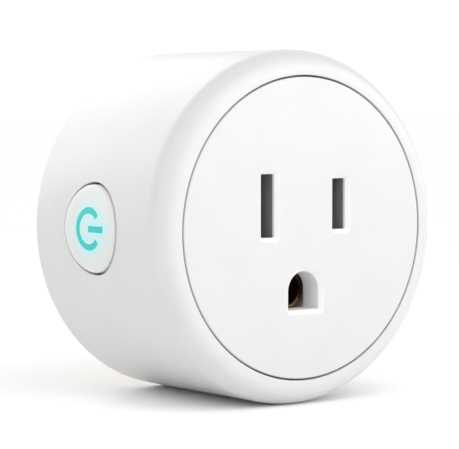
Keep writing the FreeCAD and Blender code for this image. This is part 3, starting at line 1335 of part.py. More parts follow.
def check_all():
    """Stop if any object failed to compute or any sub-part isn't a sound solid."""
    DOC.recompute()
    for shape in DOC.Objects:
        if "Invalid" in shape.State or "Error" in shape.State:
            raise RuntimeError(f"{shape.Name} failed: {shape.State}")
    labels = [shape.Label for shape in PIECES]
    if len(set(labels)) != len(labels):
        raise RuntimeError("two sub-parts share a label")
    for shape in PIECES:
        if shape.Shape.isNull() or not shape.Shape.isValid() or not shape.Shape.Solids:
            raise RuntimeError(f"{shape.Label} isn't a sound solid")


def export_all():
    """Write each sub-part to its own STEP file."""
    os.makedirs("parts", exist_ok=True)
    for shape in PIECES:
        shape.Shape.exportStep(f"parts/{shape.Label}.step")
        print(shape.Label, len(shape.Shape.Solids), "solid(s),", round(shape.Shape.Volume, 2), "mm3")


fill_sheet()
make_all()
check_all()
export_all()
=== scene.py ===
"""Looks of a round smart plug: a shell with one outlet, a lit side button, blades and the works inside.

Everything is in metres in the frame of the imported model: +Y runs into the wall, the outlet face looks
along -Y and +Z is up. A "depth" is a distance in front of the wall plane, so depth d lies at y = -d.
"""

import json
import logging
import math
from dataclasses import dataclass, field
from enum import Enum
from typing import Callable, Iterable, Mapping, Protocol, Sequence

import bmesh
import bpy
from mathutils import Euler, Matrix, Vector


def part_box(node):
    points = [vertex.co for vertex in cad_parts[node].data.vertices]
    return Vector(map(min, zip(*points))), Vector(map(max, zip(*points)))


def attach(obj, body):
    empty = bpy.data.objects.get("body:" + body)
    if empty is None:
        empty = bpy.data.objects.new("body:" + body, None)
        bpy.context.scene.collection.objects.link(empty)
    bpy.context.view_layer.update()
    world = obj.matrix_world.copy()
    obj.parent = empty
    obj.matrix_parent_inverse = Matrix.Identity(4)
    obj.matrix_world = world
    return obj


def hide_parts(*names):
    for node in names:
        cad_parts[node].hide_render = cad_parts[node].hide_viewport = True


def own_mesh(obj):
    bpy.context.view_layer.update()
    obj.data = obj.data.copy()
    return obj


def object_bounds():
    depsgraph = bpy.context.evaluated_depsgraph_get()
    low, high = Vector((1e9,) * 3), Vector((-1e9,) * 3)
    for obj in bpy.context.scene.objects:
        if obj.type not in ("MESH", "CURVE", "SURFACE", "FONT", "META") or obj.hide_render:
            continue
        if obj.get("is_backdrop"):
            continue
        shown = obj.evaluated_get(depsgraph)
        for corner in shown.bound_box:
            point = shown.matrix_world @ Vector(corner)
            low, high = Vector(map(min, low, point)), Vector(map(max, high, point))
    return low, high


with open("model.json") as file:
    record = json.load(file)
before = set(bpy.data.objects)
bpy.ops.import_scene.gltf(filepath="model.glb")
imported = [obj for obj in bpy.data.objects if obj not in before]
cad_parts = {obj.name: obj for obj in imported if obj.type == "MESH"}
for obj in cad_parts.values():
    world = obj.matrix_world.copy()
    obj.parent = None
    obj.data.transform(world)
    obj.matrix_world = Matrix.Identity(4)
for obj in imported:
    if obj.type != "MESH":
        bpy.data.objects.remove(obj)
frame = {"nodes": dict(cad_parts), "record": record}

MM = 0.001
TURN = 2 * math.pi
LOG = logging.getLogger("smart_plug")

Colour = tuple[float, float, float]
Corner = tuple[float, float, float]
Point2 = tuple[float, float]
Triple = tuple[float, float, float]
Piece = bpy.types.Object
Material = bpy.types.Material
NodeTree = bpy.types.NodeTree
Socket = bpy.types.NodeSocket

WHITE: Colour = (0.64, 0.64, 0.637)


class Axis(Enum):
    """Direction that a finish's grain runs in."""

    ACROSS = 0
    ALONG = 1
    UP = 2


class Body(Enum):
    """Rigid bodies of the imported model."""

    PLUG = "plug_body"
    BUTTON = "button"
    ARMATURE = "armature"


# ---- node graphs -------------------------------------------------------------------------------


class Graph:
    """Adds and joins nodes in one node tree."""

    def __init__(self, tree: NodeTree) -> None:
        """Keep the tree.

        Args:
            tree: The tree that new nodes go into.
        """
        self.tree = tree

    def add(self, kind: str, inputs: Mapping[object, object] | None = None,
            **settings: object) -> bpy.types.Node:
        """Add a node.

        Args:
            kind: The node's type name.
            inputs: Values or sockets by the input's name or number.
            settings: Properties of the node itself.

        Returns:
            The new node.
        """
        node = self.tree.nodes.new(kind)
        for name, value in settings.items():
            setattr(node, name, value)
        for key, value in (inputs or {}).items():
            if isinstance(value, Socket):
                self.tree.links.new(value, node.inputs[key])
            else:
                node.inputs[key].default_value = value
        return node

    def math(self, operation: str, first: object, second: object = 0.0, third: object = 0.0) -> Socket:
        """Add a math node.

        Args:
            operation: The node's operation.
            first: Value or socket.
            second: Value or socket.
            third: Value or socket.

        Returns:
            The result's socket.
        """
        inputs = {0: first, 1: second, 2: third}
        return self.add("ShaderNodeMath", inputs, operation=operation).outputs[0]


class GrowTree(Graph):
    """A Geometry Nodes tree with named inputs, one geometry in and one geometry out."""

    def __init__(self, name: str, sizes: Mapping[str, str]) -> None:
        """Make the tree and its inputs.

        Args:
            name: The tree's name.
            sizes: Socket type by input name; the geometry and the finish are added to them.
        """
        super().__init__(bpy.data.node_groups.new(name, "GeometryNodeTree"))
        face = self.tree.interface
        face.new_socket("Geometry", in_out="INPUT", socket_type="NodeSocketGeometry")
        for label, kind in {**sizes, "Finish": "NodeSocketMaterial"}.items():
            face.new_socket(label, in_out="INPUT", socket_type=kind)
        face.new_socket("Geometry", in_out="OUTPUT", socket_type="NodeSocketGeometry")
        self.given = self.tree.nodes.new("NodeGroupInput").outputs

    def close(self, geometry: Socket, merge: float = 0.0) -> NodeTree:
        """End the tree: realize, merge, shade smooth and set the finish.

        Args:
            geometry: What the tree has made.
            merge: Points nearer than this become one.

        Returns:
            The finished tree.
        """
        made = self.add("GeometryNodeRealizeInstances", {"Geometry": geometry}).outputs[0]
        if merge:
            made = self.add("GeometryNodeMergeByDistance", {"Geometry": made, "Distance": merge}).outputs[0]
        made = self.add("GeometryNodeSetShadeSmooth", {"Geometry": made}).outputs[0]
        dressed = {"Geometry": made, "Material": self.given["Finish"]}
        made = self.add("GeometryNodeSetMaterial", dressed).outputs[0]
        self.add("NodeGroupOutput", {"Geometry": made})
        return self.tree


def turned_tree() -> NodeTree:
    """Tree that turns a profile about the Y axis, with each corner rounded by its own radius.

    The profile is a line of points (radius, y); the attribute "corner" holds the rounding radius.

    Returns:
        The tree, with the inputs Segments and Corner Steps.
    """
    graph = GrowTree("turned_profile", {"Segments": "NodeSocketInt", "Corner Steps": "NodeSocketInt"})
    given = graph.given
    line = graph.add("GeometryNodeMeshToCurve", {"Mesh": given["Geometry"]}).outputs[0]
    corner = graph.add("GeometryNodeInputNamedAttribute", {"Name": "corner"}, data_type="FLOAT").outputs[0]
    rounded = graph.add("GeometryNodeFilletCurve", {"Curve": line, "Radius": corner}, mode="POLY")
    graph.tree.links.new(given["Corner Steps"], rounded.inputs["Count"])
    count = graph.add("GeometryNodeAttributeDomainSize", {"Geometry": rounded.outputs[0]}, component="CURVE")
    around = graph.math("ADD", given["Segments"], 1.0)
    sizes = {"Vertices X": count.outputs["Point Count"], "Vertices Y": around}
    grid = graph.add("GeometryNodeMeshGrid", sizes).outputs[0]
    index = graph.add("GeometryNodeInputIndex").outputs[0]
    row = graph.math("FLOOR", graph.math("DIVIDE", graph.math("ADD", index, 0.5), around))
    step = graph.math("SUBTRACT", index, graph.math("MULTIPLY", row, around))
    place = graph.add("GeometryNodeInputPosition").outputs[0]
    sample = graph.add("GeometryNodeSampleIndex", data_type="FLOAT_VECTOR", domain="POINT")
    for socket, source in (("Geometry", rounded.outputs[0]), ("Value", place), ("Index", row)):
        graph.tree.links.new(source, sample.inputs[socket])
    part = graph.add("ShaderNodeSeparateXYZ", {0: sample.outputs[0]}).outputs
    angle = graph.math("MULTIPLY", graph.math("DIVIDE", step, given["Segments"]), TURN)
    across = graph.math("MULTIPLY", part[0], graph.math("COSINE", angle))
    up = graph.math("MULTIPLY", part[0], graph.math("SINE", angle))
    spot = graph.add("ShaderNodeCombineXYZ", {0: across, 1: part[1], 2: up}).outputs[0]
    made = graph.add("GeometryNodeSetPosition", {"Geometry": grid, "Position": spot}).outputs[0]
    return graph.close(made, merge=1e-6)


def repeat_tree() -> NodeTree:
    """Tree that sets a part on every point, turned by the point's attribute "turn".

    Returns:
        The tree, with the input Part.
    """
    graph = GrowTree("repeat_on_points", {"Part": "NodeSocketObject"})
    part = graph.add("GeometryNodeObjectInfo", {"Object": graph.given["Part"]}).outputs["Geometry"]
    turn = graph.add("GeometryNodeInputNamedAttribute", {"Name": "turn"}, data_type="FLOAT_VECTOR").outputs[0]
    turned = graph.add("FunctionNodeEulerToRotation", {0: turn}).outputs[0]
    points = {"Points": graph.given["Geometry"], "Instance": part, "Rotation": turned}
    return graph.close(graph.add("GeometryNodeInstanceOnPoints", points).outputs[0])


def coil_tree() -> NodeTree:
    """Tree that winds a round wire into a straight coil about the Y axis; its input points are not used.

    The Radius input is the coil's radius; the wire starts at y = 0 and climbs towards -Y.

    Returns:
        The tree, with the inputs Turns, Length, Radius, Wire, Steps and Sides.
    """
    sizes = {"Turns": "NodeSocketFloat", "Length": "NodeSocketFloat", "Radius": "NodeSocketFloat",
             "Wire": "NodeSocketFloat", "Steps": "NodeSocketInt", "Sides": "NodeSocketInt"}
    graph = GrowTree("wound_wire", sizes)
    given = graph.given
    spiral = graph.add("GeometryNodeCurveSpiral", {
        "Resolution": given["Steps"], "Rotations": given["Turns"], "Start Radius": given["Radius"],
        "End Radius": given["Radius"], "Height": given["Length"]}).outputs[0]
    circle = {"Resolution": given["Sides"], "Radius": given["Wire"]}
    wire = graph.add("GeometryNodeCurvePrimitiveCircle", circle)
    swept = {"Curve": spiral, "Profile Curve": wire.outputs[0], "Fill Caps": True}
    tube = graph.add("GeometryNodeCurveToMesh", swept).outputs[0]
    laid = {"Geometry": tube, "Rotation": (math.pi / 2, 0.0, 0.0)}
    return graph.close(graph.add("GeometryNodeTransform", laid).outputs[0])


def strip_tree() -> NodeTree:
    """Tree that bends a flat strip along a path in the XY plane, with rounded bends.

    Returns:
        The tree, with the inputs Bend, Thickness and Height.
    """
    sizes = {"Bend": "NodeSocketFloat", "Thickness": "NodeSocketFloat", "Height": "NodeSocketFloat"}
    graph = GrowTree("bent_strip", sizes)
    given = graph.given
    line = graph.add("GeometryNodeMeshToCurve", {"Mesh": given["Geometry"]}).outputs[0]
    bends = {"Curve": line, "Count": 6, "Radius": given["Bend"]}
    bent = graph.add("GeometryNodeFilletCurve", bends, mode="POLY")
    bent.inputs["Limit Radius"].default_value = True
    level = graph.add("GeometryNodeSetCurveNormal", {"Curve": bent.outputs[0]}, mode="Z_UP").outputs[0]
    section = {"Width": given["Thickness"], "Height": given["Height"]}
    flat = graph.add("GeometryNodeCurvePrimitiveQuadrilateral", section)
    swept = {"Curve": level, "Profile Curve": flat.outputs[0], "Fill Caps": True}
    return graph.close(graph.add("GeometryNodeCurveToMesh", swept).outputs[0])


class Trees:
    """The Geometry Nodes trees, each made once."""

    def __init__(self) -> None:
        """Make every tree."""
        self.turned = turned_tree()
        self.repeat = repeat_tree()
        self.coil = coil_tree()
        self.strip = strip_tree()


# ---- meshes ------------------------------------------------------------------------------------


def link(name: str, mesh: bpy.types.Mesh) -> Piece:
    """Put a mesh in the scene as an object at the origin."""
    piece = bpy.data.objects.new(name, mesh)
    bpy.context.scene.collection.objects.link(piece)
    return piece


def from_bmesh(name: str, shape: bmesh.types.BMesh) -> Piece:
    """Put a bmesh in the scene, with its faces turned outwards.

    Args:
        name: The object's name.
        shape: A closed shape; it is freed.

    Returns:
        The object.
    """
    bmesh.ops.recalc_face_normals(shape, faces=shape.faces)
    mesh = bpy.data.meshes.new(name)
    shape.to_mesh(mesh)
    shape.free()
    return link(name, mesh)


def applied(piece: Piece, name: str) -> Piece:
    """Turn an object's evaluated geometry into a plain mesh with no modifiers.

    Args:
        piece: The object; it is removed.
        name: The new object's name.

    Returns:
        The plain object.
    """
    graph = bpy.context.evaluated_depsgraph_get()
    mesh = bpy.data.meshes.new_from_object(piece.evaluated_get(graph), depsgraph=graph)
    piece.modifiers.clear()
    bpy.data.objects.remove(piece)
    mesh.name = name
    return link(name, mesh)


def grown(host: Piece, tree: NodeTree, values: Mapping[str, object], name: str) -> Piece:
    """Run a Geometry Nodes tree on an object and keep its result as a plain mesh.

    Args:
        host: The object that feeds the tree; it is removed.
        tree: The tree.
        values: Input values by name.
        name: The result's name.

    Returns:
        The plain object.
    """
    modifier = host.modifiers.new("grow", "NODES")
    modifier.node_group = tree
    sockets = {item.name: item.identifier for item in tree.interface.items_tree if item.in_out == "INPUT"}
    for label, value in values.items():
        modifier[sockets[label]] = value
    return applied(host, name)


def outward(piece: Piece, merge: float = 2e-7, flat: bool = True) -> Piece:
    """Merge doubles, join coplanar faces and turn the faces outwards.

    Args:
        piece: A closed mesh object.
        merge: Points nearer than this become one.
        flat: Whether coplanar faces are joined.

    Returns:
        The same object.
    """
    shape = bmesh.new()
    shape.from_mesh(piece.data)
    bmesh.ops.remove_doubles(shape, verts=shape.verts, dist=merge)
    if flat:
        bmesh.ops.dissolve_limit(shape, angle_limit=0.002, verts=shape.verts, edges=shape.edges)
    bmesh.ops.recalc_face_normals(shape, faces=shape.faces)
    shape.to_mesh(piece.data)
    shape.free()
    return piece


def smooth(piece: Piece, degrees: float = 32.0) -> Piece:
    """Shade smooth, with edges sharper than an angle kept sharp."""
    piece.data.shade_smooth()
    piece.data.set_sharp_from_angle(angle=math.radians(degrees))
    return piece


def carved(piece: Piece, cutter: Piece, operation: str = "DIFFERENCE") -> Piece:
    """Cut one closed mesh with another and remove the cutter.

    Args:
        piece: The object that is cut.
        cutter: What is taken away, shared or added.
        operation: DIFFERENCE, INTERSECT or UNION.

    Returns:
        The plain result, under the piece's name.
    """
    name = piece.name
    modifier = piece.modifiers.new("cut", "BOOLEAN")
    modifier.operation, modifier.object, modifier.solver = operation, cutter, "EXACT"
    piece.name = f"{name}_blank"
    result = applied(piece, name)
    bpy.data.objects.remove(cutter)
    return outward(result, merge=1e-7)


def softened(piece: Piece, width: float, steps: int = 2, degrees: float = 33.0) -> Piece:
    """Round every edge sharper than an angle and shade the result smooth.

    Args:
        piece: The object.
        width: Width of the rounding.
        steps: Faces across it.
        degrees: Edges flatter than this are left.

    Returns:
        The plain result, under the piece's name.
    """
    name = piece.name
    piece.data.shade_smooth()
    bevel = piece.modifiers.new("soften", "BEVEL")
    bevel.width, bevel.segments, bevel.limit_method = width, steps, "ANGLE"
    bevel.angle_limit, bevel.harden_normals, bevel.use_clamp_overlap = math.radians(degrees), True, True
    bevel.miter_outer = "MITER_ARC"
    piece.name = f"{name}_sharp"
    return applied(piece, name)


def joined(name: str, parts: Sequence[Piece]) -> Piece:
    """Join objects into one mesh, keeping each one's materials.

    Args:
        name: The result's name.
        parts: Objects at the origin; they are removed.

    Returns:
        The joined object.
    """
    bpy.ops.object.select_all(action="DESELECT")
    for part in parts:
        part.select_set(True)
    bpy.context.view_layer.objects.active = parts[0]
    bpy.ops.object.join()
    whole = bpy.context.view_layer.objects.active
    whole.select_set(False)
    whole.name = name
    whole.data.name = name
    return whole


def moved(piece: Piece, shift: Sequence[float], turn: Matrix | None = None) -> Piece:
    """Turn and shift a mesh's own points, leaving its object at the origin."""
    piece.data.transform(Matrix.Translation(shift) @ (turn.to_4x4() if turn else Matrix()))
    return piece


def loft(name: str, rings: Sequence[Sequence[Vector]]) -> Piece:
    """Closed shape through rings of equal count, with its two ends filled.

    Args:
        name: The object's name.
        rings: Rings of points, first to last.

    Returns:
        The object.
    """
    shape = bmesh.new()
    loops = [[shape.verts.new(point) for point in ring] for ring in rings]
    for near, far in zip(loops, loops[1:]):
        for i in range(len(near)):
            j = (i + 1) % len(near)
            shape.faces.new((near[i], near[j], far[j], far[i]))
    shape.faces.new(loops[0])
    shape.faces.new(loops[-1])
    return from_bmesh(name, shape)


def profile_host(corners: Iterable[Corner]) -> Piece:
    """Line of profile points for the turning tree.

    Args:
        corners: (radius, depth, rounding) in millimetres, from the profile's start to its end.

    Returns:
        The line as an object.
    """
    rows = list(corners)
    mesh = bpy.data.meshes.new("profile")
    points = [(radius * MM, -depth * MM, 0.0) for radius, depth, _ in rows]
    mesh.from_pydata(points, [(i, i + 1) for i in range(len(rows) - 1)], [])
    attribute = mesh.attributes.new("corner", "FLOAT", "POINT")
    attribute.data.foreach_set("value", [rounding * MM for _, _, rounding in rows])
    return link("profile", mesh)


def points_host(places: Sequence[Sequence[float]], turns: Sequence[Sequence[float]] | None = None) -> Piece:
    """Loose points for the repeating tree.

    Args:
        places: Where the points are, in metres.
        turns: How the part is turned on each, as Euler angles.

    Returns:
        The points as an object.
    """
    mesh = bpy.data.meshes.new("points")
    mesh.from_pydata([tuple(place) for place in places], [], [])
    attribute = mesh.attributes.new("turn", "FLOAT_VECTOR", "POINT")
    flat = [value for turn in (turns or [(0.0, 0.0, 0.0)] * len(places)) for value in turn]
    attribute.data.foreach_set("vector", flat)
    return link("points", mesh)


def path_host(path: Sequence[Point2]) -> Piece:
    """Line of points (across, depth) in millimetres for the strip tree."""
    mesh = bpy.data.meshes.new("path")
    points = [(across * MM, -depth * MM, 0.0) for across, depth in path]
    mesh.from_pydata(points, [(i, i + 1) for i in range(len(points) - 1)], [])
    return link("path", mesh)


def rounded_box(name: str, low: Sequence[float], high: Sequence[float], edge: float, steps: int = 2) -> Piece:
    """Box between two corners, in metres, with its edges rounded.

    Args:
        name: The object's name.
        low: Lowest corner.
        high: Highest corner.
        edge: Width of the rounding.
        steps: Faces across it.

    Returns:
        The object.
    """
    (x0, y0, z0), (x1, y1, z1) = low, high
    rings = [[Vector((x, y, z)) for x, z in ((x0, z0), (x1, z0), (x1, z1), (x0, z1))] for y in (y0, y1)]
    return softened(loft(name, rings), edge, steps)


def islands(node: str) -> list[tuple[Vector, Vector]]:
    """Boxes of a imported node's separate solids.

    Args:
        node: The node's name.

    Returns:
        Lowest and highest corner of each, in order from left to right.
    """
    shape = bmesh.new()
    shape.from_mesh(frame["nodes"][node].data)
    bmesh.ops.remove_doubles(shape, verts=shape.verts, dist=1e-6)
    left, boxes = set(shape.verts), []
    while left:
        group, queue = set(), [left.pop()]
        while queue:
            vertex = queue.pop()
            group.add(vertex)
            for edge in vertex.link_edges:
                other = edge.other_vert(vertex)
                if other in left:
                    left.discard(other)
                    queue.append(other)
        points = [vertex.co for vertex in group]
        low = Vector(min(point[i] for point in points) for i in range(3))
        high = Vector(max(point[i] for point in points) for i in range(3))
        boxes.append((low, high))
    shape.free()
    return sorted(boxes, key=lambda box: (round(box[0].x, 5), round(box[0].z, 5)))


def arc(centre: Point2, radius: float, start: float, end: float, steps: int) -> list[Point2]:
    """Points on an arc, in degrees, both ends included."""
    angles = [math.radians(start + (end - start) * i / steps) for i in range(steps + 1)]
    return [(centre[0] + radius * math.cos(a), centre[1] + radius * math.sin(a)) for a in angles]


def prism(name: str, outline: Sequence[Point2], depths: Sequence[float]) -> Piece:
    """Solid with one outline, in millimetres, between two depths."""
    return loft(name, [[Vector((x, -depth, z)) * MM for x, z in outline] for depth in depths])


def slot_outline(across: float, up: float, wide: float, high: float, corner: float,
                 grow: float) -> list[Point2]:
    """Rounded rectangle in millimetres, grown by an even margin.

    Args:
        across: Centre.
        up: Centre.
        wide: Width.
        high: Height.
        corner: Corner radius before growing.
        grow: Margin.

    Returns:
        Points around it.
    """
    x, z, radius = wide / 2 - corner, high / 2 - corner, corner + grow
    quarters = ((x, z, 0.0), (-x, z, 90.0), (-x, -z, 180.0), (x, -z, 270.0))
    return [point for dx, dz, start in quarters
            for point in arc((across + dx, up + dz), radius, start, start + 90.0, 5)]


def arch_outline(up: float, radius: float, floor: float, corner: float, grow: float) -> list[Point2]:
    """Arched opening about X = 0 with a flat floor, in millimetres, grown by an even margin.

    Args:
        up: Height of the arch's centre.
        radius: Arch radius.
        floor: Distance from the centre down to the floor.
        corner: Radius of the floor's corners.
        grow: Margin.

    Returns:
        Points around it.
    """
    x, z = radius - corner, up - floor + corner
    points = arc((0.0, up), radius + grow, 0.0, 180.0, 40)
    points += arc((-x, z), corner + grow, 180.0, 270.0, 5)
    return points + arc((x, z), corner + grow, 270.0, 360.0, 5)


# ---- finishes ----------------------------------------------------------------------------------


class Finish(Protocol):
    """Anything that can make a material."""

    def make(self, name: str) -> Material:
        """Make the material."""
        ...


class Shade(Graph):
    """Node graph of one material, with the nodes that the finishes share."""

    def __init__(self, name: str) -> None:
        """Make the material with one Principled shader.

        Args:
            name: The material's name.
        """
        self.material = bpy.data.materials.new(name)
        self.material.use_nodes = True
        super().__init__(self.material.node_tree)
        self.surface = self.tree.nodes["Principled BSDF"]
        self.place = self.add("ShaderNodeTexCoord").outputs["Object"]

    def set(self, **values: object) -> None:
        """Set or link the shader's own sockets; an underscore stands for a space."""
        for label, value in values.items():
            socket = self.surface.inputs[label.replace("_", " ")]
            if isinstance(value, Socket):
                self.tree.links.new(value, socket)
            else:
                socket.default_value = value

    def stretched(self, scale: Sequence[float], shift: Sequence[float] = (0.0, 0.0, 0.0)) -> Socket:
        """Object coordinates scaled along each axis."""
        given = {"Vector": self.place, "Scale": scale, "Location": shift}
        return self.add("ShaderNodeMapping", given).outputs[0]

    def noise(self, size: float, detail: float = 2.0, vector: object = None) -> Socket:
        """Even noise with features of about a size in metres."""
        given = {"Vector": vector or self.place, "Scale": 1.0 / size, "Detail": detail}
        return self.add("ShaderNodeTexNoise", given).outputs["Fac"]

    def ramp(self, value: object, low: float, high: float, to_low: float = 0.0,
             to_high: float = 1.0) -> Socket:
        """Map a value's range onto another, clamped."""
        given = {"Value": value, "From Min": low, "From Max": high, "To Min": to_low, "To Max": to_high}
        return self.add("ShaderNodeMapRange", given).outputs[0]

    def blend(self, amount: object, first: object, second: object) -> Socket:
        """Mix two colours."""
        node = self.add("ShaderNodeMix", data_type="RGBA")
        sockets = {item.identifier: item for item in node.inputs}
        for label, value in (("Factor_Float", amount), ("A_Color", first), ("B_Color", second)):
            if isinstance(value, Socket):
                self.tree.links.new(value, sockets[label])
            else:
                sockets[label].default_value = (*value, 1.0) if isinstance(value, tuple) else value
        return next(item for item in node.outputs if item.identifier == "Result_Color")

    def bump(self, height: object, depth: float, under: object = None) -> Socket:
        """Bump of a real depth in metres, on top of another one."""
        given: dict[object, object] = {"Height": height, "Distance": depth, "Strength": 1.0}
        if under is not None:
            given["Normal"] = under
        return self.add("ShaderNodeBump", given).outputs[0]

    def edges(self, radius: float, gain: float) -> Socket:
        """Mask that is 1 along edges sharper than a radius in metres."""
        soft = self.add("ShaderNodeBevel", {"Radius": radius}, samples=6).outputs[0]
        plain = self.add("ShaderNodeNewGeometry").outputs["Normal"]
        dot = self.add("ShaderNodeVectorMath", {0: soft, 1: plain}, operation="DOT_PRODUCT").outputs["Value"]
        return self.ramp(self.math("SUBTRACT", 1.0, dot), 0.02, 1.0 / gain)


def darker(colour: Colour, share: float) -> Colour:
    """The colour with a share of its light taken away."""
    return tuple(channel * (1.0 - share) for channel in colour)


@dataclass(frozen=True)
class Moulded:
    """Moulded plastic: fine spark-eroded texture, faint flow clouds and softly worn edges.

    Args:
        colour: Linear colour.
        roughness: Mean roughness.
        grain: Size of the fine texture.
        relief: Depth of the fine texture.
        clouds: Change of roughness over a few millimetres.
        edge_darkening: How much darker sharp edges and creases are made.
        coat: Gloss over it.
        glow: Light that scatters inside, as a share.
    """

    colour: Colour
    roughness: float = 0.45
    grain: float = 0.00016
    relief: float = 0.000004
    clouds: float = 0.05
    edge_darkening: float = 0.0
    coat: float = 0.0
    glow: float = 0.0

    def shade(self, name: str) -> tuple[Shade, Socket]:
        """Build everything but the link of the base colour.

        Args:
            name: The material's name.

        Returns:
            The graph and the base colour's socket.
        """
        graph = Shade(name)
        cloud = graph.noise(0.006, 3.0)
        fine = graph.noise(self.grain, 2.0)
        tone = graph.blend(graph.ramp(cloud, 0.35, 0.7), self.colour, darker(self.colour, 0.025))
        if self.edge_darkening:
            # Colour darkened along sharp edges and in creases, from the Bevel node's mask.
            darkened_edges = graph.math("MULTIPLY", graph.edges(0.00025, 2.0), self.edge_darkening)
            tone = graph.blend(darkened_edges, tone, darker(self.colour, 0.2))
        rough = graph.ramp(cloud, 0.05, 0.95, self.roughness - self.clouds, self.roughness + self.clouds)
        graph.set(Roughness=rough, Normal=graph.bump(fine, self.relief), Coat_Weight=self.coat)
        if self.glow:
            graph.set(Subsurface_Weight=self.glow, Subsurface_Radius=(1.0, 0.9, 0.8), Subsurface_Scale=0.0006)
        return graph, tone

    def make(self, name: str) -> Material:
        """Make the material."""
        graph, tone = self.shade(name)
        graph.set(Base_Color=tone)
        return graph.material


@dataclass(frozen=True)
class GlowPaintedCap(Moulded):
    """The button's plastic, with a painted glow in its colour around the lit symbol, standing in for the
    light that shines through the thin wall around it.

    Args:
        painted_glow_colour: Colour of the painted glow in the plastic.
        depth: Depth of the button's axis.
        ring: Mean radius of the symbol's ring.
        stroke: Width of the symbol's lines.
        bar: Length of the symbol's bar.
        open: Half of the ring's gap, in degrees.
        reach: How far the light carries.
    """

    painted_glow_colour: Colour = (0.30, 0.86, 0.86)
    depth: float = 0.0146
    ring: float = 0.00255
    stroke: float = 0.0008
    bar: float = 0.0035
    open: float = 40.0
    reach: float = 0.0006

    def make(self, name: str) -> Material:
        """Make the material."""
        graph, tone = self.shade(name)
        part = graph.add("ShaderNodeSeparateXYZ", {0: graph.place}).outputs
        front = graph.math("SUBTRACT", graph.math("MULTIPLY", part[1], -1.0), self.depth)
        side = graph.math("ABSOLUTE", part[2])
        across = graph.math("SQRT", graph.math("ADD", graph.math("POWER", graph.math("ABSOLUTE", front), 2.0),
                                               graph.math("POWER", side, 2.0)))
        off_ring = graph.math("ABSOLUTE", graph.math("SUBTRACT", across, self.ring))
        ring = graph.math("SUBTRACT", off_ring, self.stroke / 2)
        angle = graph.math("ARCTAN2", side, front)
        inside = graph.math("MULTIPLY", graph.math("SUBTRACT", math.radians(self.open), angle), self.ring)
        ring = graph.math("MAXIMUM", ring, inside)
        middle = graph.math("SUBTRACT", front, self.bar / 2)
        long = graph.math("SUBTRACT", graph.math("ABSOLUTE", middle), self.bar / 2)
        bar = graph.math("MAXIMUM", graph.math("SUBTRACT", side, self.stroke / 2), long)
        near = graph.math("MAXIMUM", graph.math("MINIMUM", ring, bar), 0.0)
        # Painted glow: the symbol's light, painted into the base colour and fading with distance from the
        # symbol.
        glow = graph.math("EXPONENT", graph.math("DIVIDE", near, -self.reach))
        graph.set(Base_Color=graph.blend(graph.math("MULTIPLY", glow, 0.85), tone, self.painted_glow_colour))
        return graph.material


class Metalwork(Enum):
    """How a metal surface was made."""

    ROLLED = "rolled"
    TURNED = "turned"
    PLATED = "plated"


@dataclass(frozen=True)
class Metal:
    """Bare or plated metal with draw lines, dull patches and rubbed edges.

    Args:
        colour: Linear colour.
        roughness: Mean roughness.
        work: How the surface was made.
        along: Direction of the draw lines.
        tarnish: Colour of the dull patches.
        dull: Share of the surface that they cover.
    """

    colour: Colour
    roughness: float = 0.28
    work: Metalwork = Metalwork.ROLLED
    along: Axis = Axis.ALONG
    tarnish: Colour = (0.30, 0.22, 0.12)
    dull: float = 0.25

    def make(self, name: str) -> Material:
        """Make the material."""
        graph = Shade(name)
        scale = [1.0, 1.0, 1.0]
        scale[self.along.value] = 0.03
        lines = graph.noise(0.00012, 3.0, graph.stretched(scale))
        patch = graph.noise(0.0035, 4.0)
        spots = graph.noise(0.0006, 3.0)
        spotted = graph.math("ADD", patch, graph.math("MULTIPLY", spots, 0.35))
        dirt = graph.ramp(spotted, 0.62, 0.95, 0.0, self.dull)
        rub = graph.math("MULTIPLY", graph.edges(0.0003, 2.5), 0.6)
        tone = graph.blend(dirt, self.colour, self.tarnish)
        tone = graph.blend(rub, tone, tuple(min(1.0, channel * 1.15) for channel in self.colour))
        spread = {Metalwork.ROLLED: 0.10, Metalwork.TURNED: 0.08, Metalwork.PLATED: 0.05}[self.work]
        rough = graph.ramp(graph.math("ADD", lines, graph.math("MULTIPLY", dirt, 0.8)), 0.3, 1.0,
                           self.roughness - spread, self.roughness + spread * 1.5)
        depth = {Metalwork.ROLLED: 2.5e-6, Metalwork.TURNED: 2e-6, Metalwork.PLATED: 0.8e-6}[self.work]
        graph.set(Base_Color=tone, Metallic=1.0, Roughness=rough, Normal=graph.bump(lines, depth))
        return graph.material


@dataclass(frozen=True)
class Enamel:
    """Enamelled wire: a clear coat over copper, darker in random patches.

    Args:
        colour: Linear colour.
    """

    colour: Colour = (0.55, 0.18, 0.05)

    def make(self, name: str) -> Material:
        """Make the material."""
        graph = Shade(name)
        patch = graph.noise(0.0012, 3.0)
        tone = graph.blend(graph.ramp(patch, 0.3, 0.75), self.colour, darker(self.colour, 0.35))
        fine = graph.noise(0.00008, 2.0)
        graph.set(Base_Color=tone, Metallic=0.85, Roughness=graph.ramp(patch, 0.3, 0.7, 0.2, 0.36),
                  Normal=graph.bump(fine, 1.5e-6), Coat_Weight=0.6, Coat_Roughness=0.12)
        return graph.material


